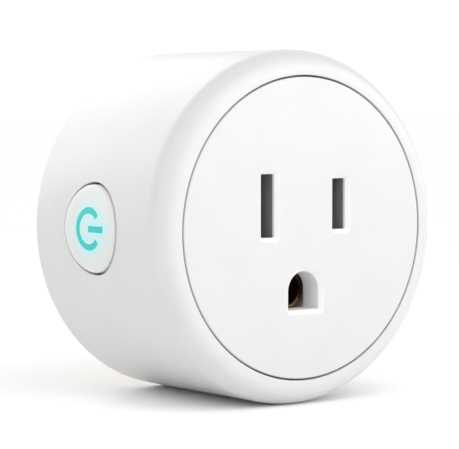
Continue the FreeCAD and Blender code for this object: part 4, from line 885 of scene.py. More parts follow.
@dataclass(frozen=True)
class Laminate:
    """Printed board: solder mask with raised tracks and tinned pads.

    Args:
        mask: Colour of the mask over bare laminate.
        track: Colour of the mask over copper.
        pitch: Distance between tracks.
        upright: Whether the board stands in the YZ plane instead of the XZ plane.
        level: Whether the board lies in the XY plane instead.
    """

    mask: Colour = (0.012, 0.085, 0.035)
    track: Colour = (0.03, 0.17, 0.07)
    pitch: float = 0.0011
    upright: bool = False
    level: bool = False

    def make(self, name: str) -> Material:
        """Make the material."""
        graph = Shade(name)
        turn = (math.pi / 2, 0.0, 0.0)
        if self.upright:
            turn = (0.0, math.pi / 2, 0.0)
        elif self.level:
            turn = (0.0, 0.0, 0.0)
        flat = graph.add("ShaderNodeMapping", {"Vector": graph.place, "Rotation": turn}).outputs[0]
        bricks = {"Vector": flat, "Scale": 1.0 / self.pitch, "Mortar Size": 0.16, "Mortar Smooth": 0.1,
                  "Brick Width": 3.3, "Row Height": 0.75}
        lanes = graph.add("ShaderNodeTexBrick", bricks, offset=0.37, offset_frequency=3, squash=0.6,
                          squash_frequency=2).outputs["Fac"]
        cells = graph.add("ShaderNodeTexVoronoi", {"Vector": flat, "Scale": 420.0}, feature="F1")
        pad = graph.ramp(cells.outputs["Distance"], 0.17, 0.13)
        fill = graph.ramp(graph.noise(0.004, 2.0), 0.5, 0.53)
        copper = graph.math("MAXIMUM", lanes, graph.math("MULTIPLY", fill, 0.6))
        tone = graph.blend(copper, self.mask, self.track)
        tone = graph.blend(pad, tone, (0.62, 0.60, 0.55))
        height = graph.math("MAXIMUM", graph.math("MULTIPLY", copper, 0.6), pad)
        graph.set(Base_Color=tone, Metallic=graph.math("MULTIPLY", pad, 0.9),
                  Normal=graph.bump(height, 0.00003),
                  Roughness=graph.ramp(graph.noise(0.0004, 2.0), 0.3, 0.7, 0.26, 0.38))
        return graph.material


@dataclass(frozen=True)
class Sleeved:
    """Capacitor can: a shrink sleeve with one plain stripe, and a bare scored top.

    Args:
        top: Depth at which the sleeve ends.
        axis: Where the can's axis is, as (across, up).
        radius: Radius of the bare part of the top.
        sleeve: Colour of the sleeve.
        stripe: Colour of the stripe.
    """

    top: float
    axis: Point2
    radius: float
    sleeve: Colour = (0.012, 0.014, 0.022)
    stripe: Colour = (0.42, 0.43, 0.46)

    def make(self, name: str) -> Material:
        """Make the material."""
        graph = Shade(name)
        shift = (-self.axis[0], 0.0, -self.axis[1])
        part = graph.add("ShaderNodeSeparateXYZ", {0: graph.stretched((1.0, 1.0, 1.0), shift)}).outputs
        angle = graph.math("ABSOLUTE", graph.math("ARCTAN2", part[2], part[0]))
        across = graph.math("SQRT", graph.math("ADD", graph.math("MULTIPLY", part[0], part[0]),
                                               graph.math("MULTIPLY", part[2], part[2])))
        end = graph.ramp(part[1], -self.top + 2e-5, -self.top - 2e-5)
        bare = graph.math("MULTIPLY", end, graph.ramp(across, self.radius + 2e-5, self.radius - 2e-5))
        band = graph.ramp(angle, 0.5, 0.48)
        tone = graph.blend(band, self.sleeve, self.stripe)
        tone = graph.blend(bare, tone, (0.72, 0.72, 0.73))
        cross = graph.math("MINIMUM", graph.math("ABSOLUTE", part[0]), graph.math("ABSOLUTE", part[2]))
        score = graph.ramp(cross, 0.00004, 0.00016)
        fine = graph.math("ADD", graph.math("MULTIPLY", score, 4.0), graph.noise(0.0003, 3.0))
        graph.set(Base_Color=tone, Metallic=bare, Normal=graph.bump(fine, 8e-6),
                  Roughness=graph.ramp(graph.noise(0.002, 3.0), 0.3, 0.7, 0.24, 0.36))
        return graph.material


@dataclass(frozen=True)
class Lit:
    """Clear guide lit from behind, a little brighter towards its middle.

    Args:
        colour: Linear colour of the plastic.
        light: Linear colour of the light.
        power: Strength of the light.
        centre: Middle of the lit symbol.
        reach: Distance at which the light has faded.
    """

    colour: Colour
    light: Colour
    power: float
    centre: Triple
    reach: float = 0.006

    def make(self, name: str) -> Material:
        """Make the material."""
        graph = Shade(name)
        apart = graph.add("ShaderNodeVectorMath", {0: graph.place, 1: self.centre}, operation="DISTANCE")
        gap = apart.outputs["Value"]
        fade = graph.ramp(gap, 0.0, self.reach, self.power, self.power * 0.75)
        uneven = graph.ramp(graph.noise(0.0009, 2.0), 0.3, 0.7, 0.92, 1.06)
        fine = graph.noise(0.0002, 2.0)
        graph.set(Base_Color=(*self.colour, 1.0), Emission_Color=(*self.light, 1.0),
                  Emission_Strength=graph.math("MULTIPLY", fade, uneven),
                  Roughness=graph.ramp(fine, 0.3, 0.7, 0.22, 0.3), Normal=graph.bump(fine, 2e-6))
        return graph.material


@dataclass(frozen=True)
class Film:
    """Blank label: a matt film with a thin printed border and nothing written on it.

    Args:
        low: Lowest corner of the label, as (across, up).
        high: Highest corner.
        colour: Linear colour of the film.
        ink: Linear colour of the border.
    """

    low: Point2
    high: Point2
    colour: Colour = (0.62, 0.63, 0.64)
    ink: Colour = (0.16, 0.17, 0.18)

    def make(self, name: str) -> Material:
        """Make the material."""
        graph = Shade(name)
        part = graph.add("ShaderNodeSeparateXYZ", {0: graph.place}).outputs
        middle = [(a + b) / 2 for a, b in zip(self.low, self.high)]
        half = [(b - a) / 2 for a, b in zip(self.low, self.high)]
        across = graph.math("ABSOLUTE", graph.math("SUBTRACT", part[0], middle[0]))
        side = graph.math("SUBTRACT", half[0], across)
        up = graph.math("ABSOLUTE", graph.math("SUBTRACT", part[2], middle[1]))
        edge = graph.math("SUBTRACT", half[1], up)
        inset = graph.math("MINIMUM", side, edge)
        line = graph.math("LESS_THAN", graph.math("ABSOLUTE", graph.math("SUBTRACT", inset, 0.0006)), 0.00008)
        fibre = graph.noise(0.0002, 3.0)
        tone = graph.blend(graph.ramp(fibre, 0.2, 0.8), self.colour, darker(self.colour, 0.06))
        graph.set(Base_Color=graph.blend(line, tone, self.ink), Normal=graph.bump(fibre, 3e-6),
                  Roughness=graph.ramp(fibre, 0.3, 0.7, 0.4, 0.52))
        return graph.material


class Palette:
    """Every finish by its slot in the record, made into materials when they are first asked for."""

    def __init__(self) -> None:
        """List the finishes."""
        low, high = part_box("rating_label")
        bulk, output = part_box("bulk_capacitor"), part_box("output_capacitor")
        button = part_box("button_cap")
        middle = (button[0] + button[1]) / 2
        brass, bronze, steel = (0.72, 0.53, 0.24), (0.36, 0.20, 0.10), (0.60, 0.60, 0.61)
        self.finishes: dict[str, Finish] = {
            "white_shell": Moulded(WHITE, 0.30, relief=0.0000015, clouds=0.03, glow=0.05),
            "white_face": Moulded(WHITE, 0.36, relief=0.0000015, clouds=0.03, glow=0.05),
            "white_cover": Moulded((0.62, 0.62, 0.615), 0.5, relief=0.000003, edge_darkening=0.25),
            "label_film": Film((low.x, low.z), (high.x, high.z)),
            "screw_steel": Metal(steel, 0.3, Metalwork.PLATED, tarnish=(0.35, 0.33, 0.25), dull=0.3),
            "blade_brass": Metal(brass, 0.26, Metalwork.ROLLED, Axis.ALONG),
            "pin_brass": Metal(brass, 0.22, Metalwork.TURNED, Axis.UP),
            "contact_bronze": Metal(bronze, 0.3, Metalwork.ROLLED, Axis.ALONG, dull=0.35),
            "carrier_nylon": Moulded((0.24, 0.24, 0.245), 0.42, relief=0.000004, edge_darkening=0.4),
            "board_green": Laminate(),
            "lead_tin": Metal((0.68, 0.68, 0.67), 0.32, Metalwork.PLATED, tarnish=(0.4, 0.4, 0.38)),
            "can_sleeve": Sleeved(-bulk[0].y - 0.0002,
                                  ((bulk[0].x + bulk[1].x) / 2, (bulk[0].z + bulk[1].z) / 2), 0.0033),
            "can_small": Sleeved(-output[0].y - 0.0002,
                                 ((output[0].x + output[1].x) / 2, (output[0].z + output[1].z) / 2), 0.0025),
            "ferrite": Moulded((0.024, 0.024, 0.026), 0.6, grain=0.00009, relief=0.00001, edge_darkening=0.5),
            "copper_wire": Enamel(),
            "fuse_brown": Moulded((0.045, 0.014, 0.006), 0.28, coat=0.3, edge_darkening=0.3),
            "varistor_blue": Moulded((0.008, 0.04, 0.22), 0.24, grain=0.0007, relief=0.00002, coat=0.5),
            "chip_black": Moulded((0.012, 0.012, 0.013), 0.55, grain=0.00007, relief=0.000006, edge_darkening=0.4),
            "relay_blue": Moulded((0.006, 0.024, 0.14), 0.25, coat=0.4, edge_darkening=0.3),
            "relay_base": Moulded((0.02, 0.022, 0.028), 0.5, edge_darkening=0.3),
            "bobbin_white": Moulded((0.62, 0.58, 0.48), 0.45, edge_darkening=0.2),
            "soft_iron": Metal((0.56, 0.55, 0.54), 0.34, Metalwork.PLATED, Axis.UP, (0.3, 0.24, 0.18)),
            "contact_copper": Metal((0.75, 0.42, 0.24), 0.28, Metalwork.ROLLED, Axis.ALONG, dull=0.3),
            # The button's white is lighter than the shell's WHITE: painted light standing in for the brighter
            # lit button face.
            "button_white": GlowPaintedCap((0.69, 0.70, 0.70), 0.3, relief=0.0000015, clouds=0.03, glow=0.05,
                                      depth=-middle.y),
            "guide_cyan": Lit((0.015, 0.30, 0.29), (0.02, 0.55, 0.52), 0.42,
                              (button[0].x, middle.y, middle.z)),
            "switch_black": Moulded((0.018, 0.018, 0.02), 0.4, edge_darkening=0.4),
            "frame_steel": Metal(steel, 0.25, Metalwork.PLATED, Axis.UP),
            "dome_steel": Metal((0.62, 0.61, 0.59), 0.2, Metalwork.TURNED, Axis.UP),
            "led_amber": Lit((0.6, 0.62, 0.5), (0.1, 0.85, 0.8), 1.2, (-0.016, middle.y, 0.0), 0.02),
            "radio_blue": Laminate((0.005, 0.02, 0.07), (0.012, 0.05, 0.15), 0.0008, level=True),
            "shield_tin": Metal((0.66, 0.66, 0.66), 0.34, Metalwork.PLATED, Axis.ACROSS, (0.4, 0.4, 0.39)),
            "trace_gold": Metal((0.80, 0.58, 0.24), 0.26, Metalwork.PLATED, Axis.ALONG, dull=0.15),
            "board_upright": Laminate(upright=True, pitch=0.0009),
        }
        self.made: dict[str, Material] = {}

    def get(self, slot: str) -> Material:
        """Material of a slot, made on the first call."""
        if slot not in self.made:
            self.made[slot] = self.finishes[slot].make(slot)
        return self.made[slot]


# ---- sub-assemblies ----------------------------------------------------------------------------


@dataclass
class Workshop:
    """What every sub-assembly needs: the trees, the finishes and the rules for placing a piece.

    Args:
        trees: Geometry Nodes trees.
        palette: Finishes.
    """

    trees: Trees
    palette: Palette

    def turned(self, name: str, slot: str, corners: Iterable[Corner], segments: int = 96,
               steps: int = 6) -> Piece:
        """Turn a profile about the Y axis.

        Args:
            name: The piece's name.
            slot: Its finish.
            corners: (radius, depth, rounding) in millimetres.
            segments: Faces around.
            steps: Points on each rounded corner.

        Returns:
            The piece.
        """
        values = {"Segments": segments, "Corner Steps": steps, "Finish": self.palette.get(slot)}
        return outward(grown(profile_host(corners), self.trees.turned, values, name), merge=2e-6)

    def repeated(self, name: str, slot: str, part: Piece, places: Sequence[Sequence[float]],
                 turns: Sequence[Sequence[float]] | None = None) -> Piece:
        """Set a part on each place as one piece.

        Args:
            name: The piece's name.
            slot: Its finish.
            part: The part; it is removed.
            places: Where it goes, in metres.
            turns: How it is turned on each place.

        Returns:
            The piece.
        """
        values = {"Part": part, "Finish": self.palette.get(slot)}
        piece = grown(points_host(places, turns), self.trees.repeat, values, name)
        bpy.data.objects.remove(part)
        return piece

    def dressed(self, piece: Piece, slot: str) -> Piece:
        """Give the whole piece one finish."""
        piece.data.materials.clear()
        piece.data.materials.append(self.palette.get(slot))
        return piece

    def placed(self, piece: Piece, body: Body, slot: str, *nodes: str) -> None:
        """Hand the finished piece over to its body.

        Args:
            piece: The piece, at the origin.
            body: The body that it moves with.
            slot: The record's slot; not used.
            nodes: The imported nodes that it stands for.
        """
        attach(piece, body.value)
        if nodes:
            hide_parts(*nodes)
        LOG.info("%s: %d faces", piece.name, len(piece.data.polygons))


@dataclass(frozen=True)
class Layout:
    """Places that several pieces share, in millimetres: openings and prongs, screws and their bosses, button.

    Args:
        pitch: Distance between the two blades, and between the two slots.
        row: Height of the blades and slots.
        earth_drop: Distance from their row down to the earth pin and its opening.
        screw_at: Distance of the screws from the drum's axis.
        screw_angle: Angle of the first screw above +X, in degrees.
        button: Depth of the button's axis.
    """

    pitch: float = 12.7
    row: float = 3.2
    earth_drop: float = 11.9
    screw_at: float = 19.8
    screw_angle: float = 40.0
    button: float = 14.6

    def sides(self) -> Point2:
        """Where the neutral and the line side stand, across."""
        return -self.pitch / 2, self.pitch / 2

    def earth(self) -> float:
        """Height of the earth pin and its opening."""
        return self.row - self.earth_drop

    def screws(self) -> list[Point2]:
        """Centres of the four screws, as (across, up)."""
        angle = math.radians(self.screw_angle)
        across, up = self.screw_at * math.cos(angle), self.screw_at * math.sin(angle)
        return [(across, up), (-across, up), (-across, -up), (across, -up)]


@dataclass
class Housing:
    """Outer shell with its bevelled front rim, button hole, screw bosses and ribs; sizes in millimetres."""

    shop: Workshop
    wall: float = 1.8
    rear_round: float = 0.8
    bevel: Point2 = (1.7, 2.4)
    bevel_rounds: Point2 = (4.0, 2.4)
    recess: float = 21.1
    ledge: float = 19.6
    ledge_depths: Point2 = (28.8, 27.3)
    hole: float = 6.44
    boss: float = 2.5
    boss_foot: float = 2.4
    pilot: float = 1.0
    rib: float = 1.6
    segments: int = 320
    layout: Layout = Layout()

    def shell(self) -> Piece:
        """Turn the drum and cut the button's hole.

        Returns:
            The shell.
        """
        low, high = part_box("main_housing")
        radius, front, rear = high.x / MM, -low.y / MM, -high.y / MM
        inner = radius - self.wall
        ledge_front, ledge_rear = self.ledge_depths
        corners = [
            (inner, ledge_rear, 0.0), (inner, rear, 0.15), (radius, rear, self.rear_round),
            (radius, front - self.bevel[1], self.bevel_rounds[0]),
            (radius - self.bevel[0], front, self.bevel_rounds[1]),
            (self.recess, front, 0.12), (self.recess, ledge_front, 0.0), (self.ledge, ledge_front, 0.1),
            (self.ledge, ledge_rear, 0.1), (inner, ledge_rear, 0.0),
        ]
        drum = self.shop.turned("housing_shell", "white_shell", corners, self.segments, 10)
        ring = arc((-self.layout.button, 0.0), self.hole, 0.0, 360.0 - 360.0 / 128, 127)
        through = (-radius - 2.0, -inner + 4.0)
        cutter = loft("hole", [[Vector((x, y, z)) * MM for y, z in ring] for x in through])
        return softened(carved(drum, cutter), 0.00009, 2)

    def bosses(self) -> Piece:
        """Screw bosses with their ribs, repeated around the drum.

        Returns:
            The bosses.
        """
        near, far = self.boss_foot, self.ledge_depths[1] - 0.02
        corners = [(self.pilot, near, 0.0), (self.boss, near, 0.15), (self.boss, far, 0.0),
                   (self.pilot, far, 0.0), (self.pilot, near, 0.0)]
        at, first = self.layout.screw_at, self.layout.screw_angle
        tube = moved(self.shop.turned("boss", "white_shell", corners, 40, 3), (at * MM, 0.0, 0.0))
        outside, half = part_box("main_housing")[1].x, self.rib / 2 * MM
        rib = rounded_box("rib", ((at + self.boss - 0.15) * MM, -far * MM, -half),
                          (outside - 0.5 * self.wall * MM, -near * MM, half), 0.00008)
        part = joined("boss_part", [smooth(tube), self.shop.dressed(rib, "white_shell")])
        angles = [first, 180 - first, 180 + first, 360 - first]
        turns = [(0.0, -math.radians(angle), 0.0) for angle in angles]
        return self.shop.repeated("housing_bosses", "white_shell", part, [(0.0, 0.0, 0.0)] * 4, turns)

    def build(self) -> None:
        """Make and place the pieces."""
        self.shop.placed(self.shell(), Body.PLUG, "white_shell", "main_housing")
        self.shop.placed(self.bosses(), Body.PLUG, "white_shell", "main_housing")


@dataclass
class FacePlate:
    """Outlet face with its three funnelled openings and the snap hooks behind it; sizes in millimetres."""

    shop: Workshop
    radius: float = 20.85
    spigot: float = 19.45
    edge: float = 0.2
    step: float = 28.8
    back: float = 27.3
    slot: float = 2.3
    tall: float = 8.7
    short: float = 7.1
    arch: Point2 = (2.7, 2.65)
    funnel: float = 0.6
    slot_corner: float = 0.12
    arch_corner: float = 0.15
    socket: Triple = (5.8, 9.8, 1.0)
    hook: Triple = (5.0, 1.2, 2.4)
    barb: Triple = (0.8, 1.2, 0.1)
    layout: Layout = Layout()

    def funnelled(self, name: str, front: float, outline: Callable[[float], list[Point2]]) -> Piece:
        """Closed cutter for one opening: wide at the face, then straight through.

        Args:
            name: The cutter's name.
            front: Depth of the face.
            outline: Gives the outline for a margin.

        Returns:
            The cutter.
        """
        sections = ((front + 0.4, self.funnel + 0.4), (front - self.funnel, 0.0), (self.back - 0.5, 0.0))
        rings = [[Vector((x, -depth, z)) * MM for x, z in outline(grow)] for depth, grow in sections]
        return loft(name, rings)

    def plate(self) -> Piece:
        """Turn the disc, cut the sockets for the carrier's noses behind it, then the openings.

        Returns:
            The plate.
        """
        front = -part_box("face_plate")[0].y / MM
        corners = [(0.0, self.back, 0.0), (self.spigot, self.back, 0.1), (self.spigot, self.step, 0.0),
                   (self.radius, self.step, 0.05), (self.radius, front, self.edge), (0.0, front, 0.0)]
        plate = self.shop.turned("outlet_face", "white_face", corners, 288, 5)
        (neutral, line), up, wide = self.layout.sides(), self.layout.row, self.slot
        depths = (self.back - 1.0, front - self.socket[2])
        for side in (neutral, line):
            outline = slot_outline(side, up, *self.socket[:2], 0.1, 0.0)
            plate = carved(plate, prism("socket", outline, depths))
        outlines = {
            "neutral": lambda grow: slot_outline(neutral, up, wide, self.tall, self.slot_corner, grow),
            "line": lambda grow: slot_outline(line, up, wide, self.short, self.slot_corner, grow),
            "earth": lambda grow: arch_outline(self.layout.earth(), *self.arch, self.arch_corner, grow),
        }
        for name, outline in outlines.items():
            plate = carved(plate, self.funnelled(name, front, outline))
        return softened(plate, 0.00006, 2)

    def hooks(self) -> Piece:
        """Snap hooks, repeated around the spigot.

        Returns:
            The hooks.
        """
        wide, thick, long = self.hook
        reach, barb_long, gap = self.barb
        edge = math.sqrt(self.spigot ** 2 - (wide / 2) ** 2)
        rear = self.back - gap
        root, tip = self.back + 0.3, self.back - long
        side = [(edge - thick, root), (edge, root), (edge, rear), (edge + reach, rear - 0.15),
                (edge + reach, rear - barb_long * 0.6), (edge, tip), (edge - thick, tip)]
        rings = [[Vector((x, -depth, z)) * MM for x, depth in side] for z in (-wide / 2, wide / 2)]
        part = softened(loft("hook", rings), 0.0001)
        turns = [(0.0, math.radians(90.0 * i), 0.0) for i in range(4)]
        return self.shop.repeated("face_hooks", "white_face", part, [(0.0, 0.0, 0.0)] * 4, turns)

    def build(self) -> None:
        """Make and place the pieces."""
        self.shop.placed(self.plate(), Body.PLUG, "white_face", "face_plate")
        self.shop.placed(self.hooks(), Body.PLUG, "white_face", "face_plate")


@dataclass
class RearCover:
    """Cover against the wall, its board posts and its screws; sizes in millimetres."""

    shop: Workshop
    thick: float = 2.4
    edge: float = 0.3
    blade: Point2 = (1.6, 6.45)
    seat: float = 2.7
    bore: float = 1.1
    counterbore: Point2 = (2.1, 1.5)
    label: tuple[float, float, float, float] = (22.0, 7.0, 14.2, 0.25)
    post: Triple = (1.5, 18.6, 3.0)
    shank: float = 0.92
    screw_ends: Triple = (0.2, 1.5, 9.0)
    thread_wire: float = 0.14
    layout: Layout = Layout()

    def drill(self, name: str, centre: Point2, radius: float, near: float, far: float) -> Piece:
        """Round cutter between two depths.

        Args:
            name: The cutter's name.
            centre: Its axis, as (across, up).
            radius: Its radius.
            near: First depth.
            far: Last depth.

        Returns:
            The cutter.
        """
        ring = arc(centre, radius, 0.0, 360.0 - 360.0 / 56, 55)
        return prism(name, ring, (near, far))

    def disc(self) -> Piece:
        """Turn the cover and cut its openings, screw seats and label recess.

        Returns:
            The cover.
        """
        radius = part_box("rear_cover")[1].x / MM
        corners = [(0.0, self.thick, 0.0), (radius, self.thick, 0.1), (radius, 0.0, self.edge),
                   (0.0, 0.0, 0.0)]
        cover = self.shop.turned("rear_cover_disc", "white_cover", corners, 256, 5)
        cutters = []
        for side in self.layout.sides():
            outline = slot_outline(side, self.layout.row, *self.blade, 0.05, 0.0)
            cutters.append(prism("slit", outline, (-1.0, 4.0)))
        cutters.append(self.drill("pin", (0.0, self.layout.earth()), self.seat, -1.0, 4.0))
        for centre in self.layout.screws():
            cutters.append(self.drill("bore", centre, self.bore, 0.5, 4.0))
        for cutter in cutters:
            cover = carved(cover, cutter)
        for centre in self.layout.screws():
            cover = carved(cover, self.drill("seat", centre, self.counterbore[0], -1.0, self.counterbore[1]))
        wide, high, up, sink = self.label
        outline = slot_outline(0.0, up, wide, high, 0.5, 0.0)
        recess = prism("recess", outline, (-1.0, sink))
        return softened(carved(cover, recess), 0.00008, 2)

    def posts(self) -> Piece:
        """Posts that the board rests on.

        Returns:
            The posts.
        """
        radius, far, long = self.post
        foot, top = self.thick - 0.2, self.thick + long
        corners = [(0.0, foot, 0.0), (radius, foot, 0.0), (radius, top, 0.2), (0.0, top, 0.0)]
        part = smooth(self.shop.turned("post", "white_cover", corners, 32, 3))
        places = [(far * MM, 0.0, 0.0), (-far * MM, 0.0, 0.0), (0.0, 0.0, far * MM), (0.0, 0.0, -far * MM)]
        return self.shop.repeated("cover_posts", "white_cover", part, places)

    def screws(self) -> Piece:
        """Cross-head screws: a domed head with its recess, a shank and a raised thread.

        Returns:
            The four screws as one piece.
        """
        top, under, tip = self.screw_ends
        head = self.counterbore[0] - 0.2
        corners = [(0.0, top, 0.0), (head, top, 0.55), (head, under, 0.08), (self.shank, under, 0.0),
                   (self.shank, tip - 0.9, 0.0), (0.3, tip, 0.1), (0.0, tip, 0.0)]
        body = self.shop.turned("screw_body", "screw_steel", corners, 48, 6)
        for name, wide, high in (("slot_a", 1.1, 0.25), ("slot_b", 0.25, 1.1)):
            rings = []
            for depth, share in ((0.0, 1.15), (0.9, 0.75)):
                x, z = wide * share, high * share
                rings.append([Vector((a, -depth, b)) * MM for a, b in ((x, z), (-x, z), (-x, -z), (x, -z))])
            body = carved(body, loft(name, rings))
        values = {"Turns": 8.0, "Length": 6.0 * MM, "Radius": self.shank * MM, "Wire": self.thread_wire * MM,
                  "Steps": 24, "Sides": 4, "Finish": self.shop.palette.get("screw_steel")}
        thread = grown(points_host([(0.0, 0.0, 0.0)]), self.shop.trees.coil, values, "thread")
        span = [corner.y for corner in map(Vector, thread.bound_box)]
        moved(thread, (0.0, -1.9 * MM - max(span), 0.0))
        part = joined("screw_part", [softened(body, 0.00005, 2), thread])
        places = [(x * MM, 0.0, z * MM) for x, z in self.layout.screws()]
        return self.shop.repeated("cover_screw_set", "screw_steel", part, places)

    def build(self) -> None:
        """Make and place the pieces."""
        self.shop.placed(self.disc(), Body.PLUG, "white_cover", "rear_cover")
        self.shop.placed(self.posts(), Body.PLUG, "white_cover", "rear_cover")
        self.shop.placed(self.screws(), Body.PLUG, "screw_steel", "cover_screws")


@dataclass
class Prongs:
    """The two flat blades and the round earth pin; sizes in millimetres."""

    shop: Workshop
    thick: float = 1.5
    wide: float = 6.35
    long: float = 17.0
    corner: float = 1.4
    hole: Point2 = (11.7, 1.6)
    shoulder: Triple = (2.4, 3.2, 4.3)
    tail: Triple = (0.6, 3.0, 7.9)
    pin_radius: float = 2.38
    pin_long: float = 20.6
    layout: Layout = Layout()

    def blade(self, name: str, side: float) -> Piece:
        """One blade with its drilled hole, shoulder and soldered tail.

        Args:
            name: The piece's name.
            side: Where its middle is, across.

        Returns:
            The blade.
        """
        half, cut, row = self.wide / 2, self.corner, self.layout.row
        near, far, inner = self.shoulder
        top, low, tail = self.tail
        outline = [(self.long, -half + cut), (self.long, half - cut), (self.long - cut, half), (-near, half),
                   (-near, inner), (-far, inner), (-far, -top), (-tail, -top), (-tail, -low), (-far, -low),
                   (-far, -inner), (-near, -inner), (-near, -half), (self.long - cut, -half)]
        x0, x1 = side - self.thick / 2, side + self.thick / 2
        rings = [[Vector((x, y, z + row)) * MM for y, z in outline] for x in (x0, x1)]
        blade = loft(name, rings)
        ring = arc((self.hole[0], row), self.hole[1], 0.0, 360.0 - 7.5, 47)
        cutter = loft("hole", [[Vector((x, y, z)) * MM for y, z in ring] for x in (x0 - 1.0, x1 + 1.0)])
        return self.shop.dressed(softened(carved(blade, cutter), 0.0003, 3), "blade_brass")

    def pin(self) -> Piece:
        """Earth pin with its domed tip, seat, collar and rivet head.

        Returns:
            The pin.
        """
        radius, long = self.pin_radius, self.pin_long
        corners = [(0.0, -long, 0.0), (radius, -long, 1.7), (radius, 0.0, 0.0), (2.7, 0.0, 0.0),
                   (2.7, 2.4, 0.0), (3.3, 2.4, 0.15), (3.3, 3.2, 0.15), (1.2, 3.2, 0.0), (1.2, 3.7, 0.0),
                   (1.9, 3.7, 0.1), (1.9, 4.3, 0.35), (0.0, 4.3, 0.0)]
        pin = self.shop.turned("earth_pin_turned", "pin_brass", corners, 72, 10)
        return moved(smooth(pin), (0.0, 0.0, self.layout.earth() * MM))

    def build(self) -> None:
        """Make and place the pieces."""
        for name, side in zip(("neutral_blade", "line_blade"), self.layout.sides()):
            self.shop.placed(self.blade(f"{name}_bar", side), Body.PLUG, "blade_brass", name)
        self.shop.placed(self.pin(), Body.PLUG, "pin_brass", "earth_pin")


@dataclass
class Contacts:
    """Gripping contacts behind the outlet, bent from strip; sizes in millimetres."""

    shop: Workshop
    strip: float = 0.5
    bend: float = 0.6
    heights: Mapping[str, float] = field(default_factory=lambda: {
        "neutral_contact": 7.0,
        "line_contact": 5.8,
    })
    path: Sequence[Point2] = ((1.85, 26.7), (0.85, 23.5), (1.65, 14.1), (1.65, 12.35))
    layout: Layout = Layout()

    def clip(self, name: str, side: float) -> Piece:
        """One folded contact with its soldered leg.

        Args:
            name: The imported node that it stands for.
            side: Where its middle is, across.

        Returns:
            The contact.
        """
        right = list(self.path)
        left = [(-across, depth) for across, depth in reversed(right)]
        values = {"Bend": self.bend * MM, "Thickness": self.strip * MM, "Height": self.heights[name] * MM,
                  "Finish": self.shop.palette.get("contact_bronze")}
        clip = outward(grown(path_host(right + left), self.shop.trees.strip, values, "clip"))
        shift = (side * MM, 0.0, self.layout.row * MM)
        leg = rounded_box("leg", (-0.00025, -0.01235, 0.0006), (0.00025, -0.0045, 0.003), 0.00006)
        clip = softened(moved(clip, shift), 0.00006)
        leg = self.shop.dressed(moved(leg, shift), "contact_bronze")
        return joined(f"{name}_strip", [clip, leg])

    def build(self) -> None:
        """Make and place the pieces."""
        for name, side in zip(("neutral_contact", "line_contact"), self.layout.sides()):
            self.shop.placed(self.clip(name, side), Body.PLUG, "contact_bronze", name)


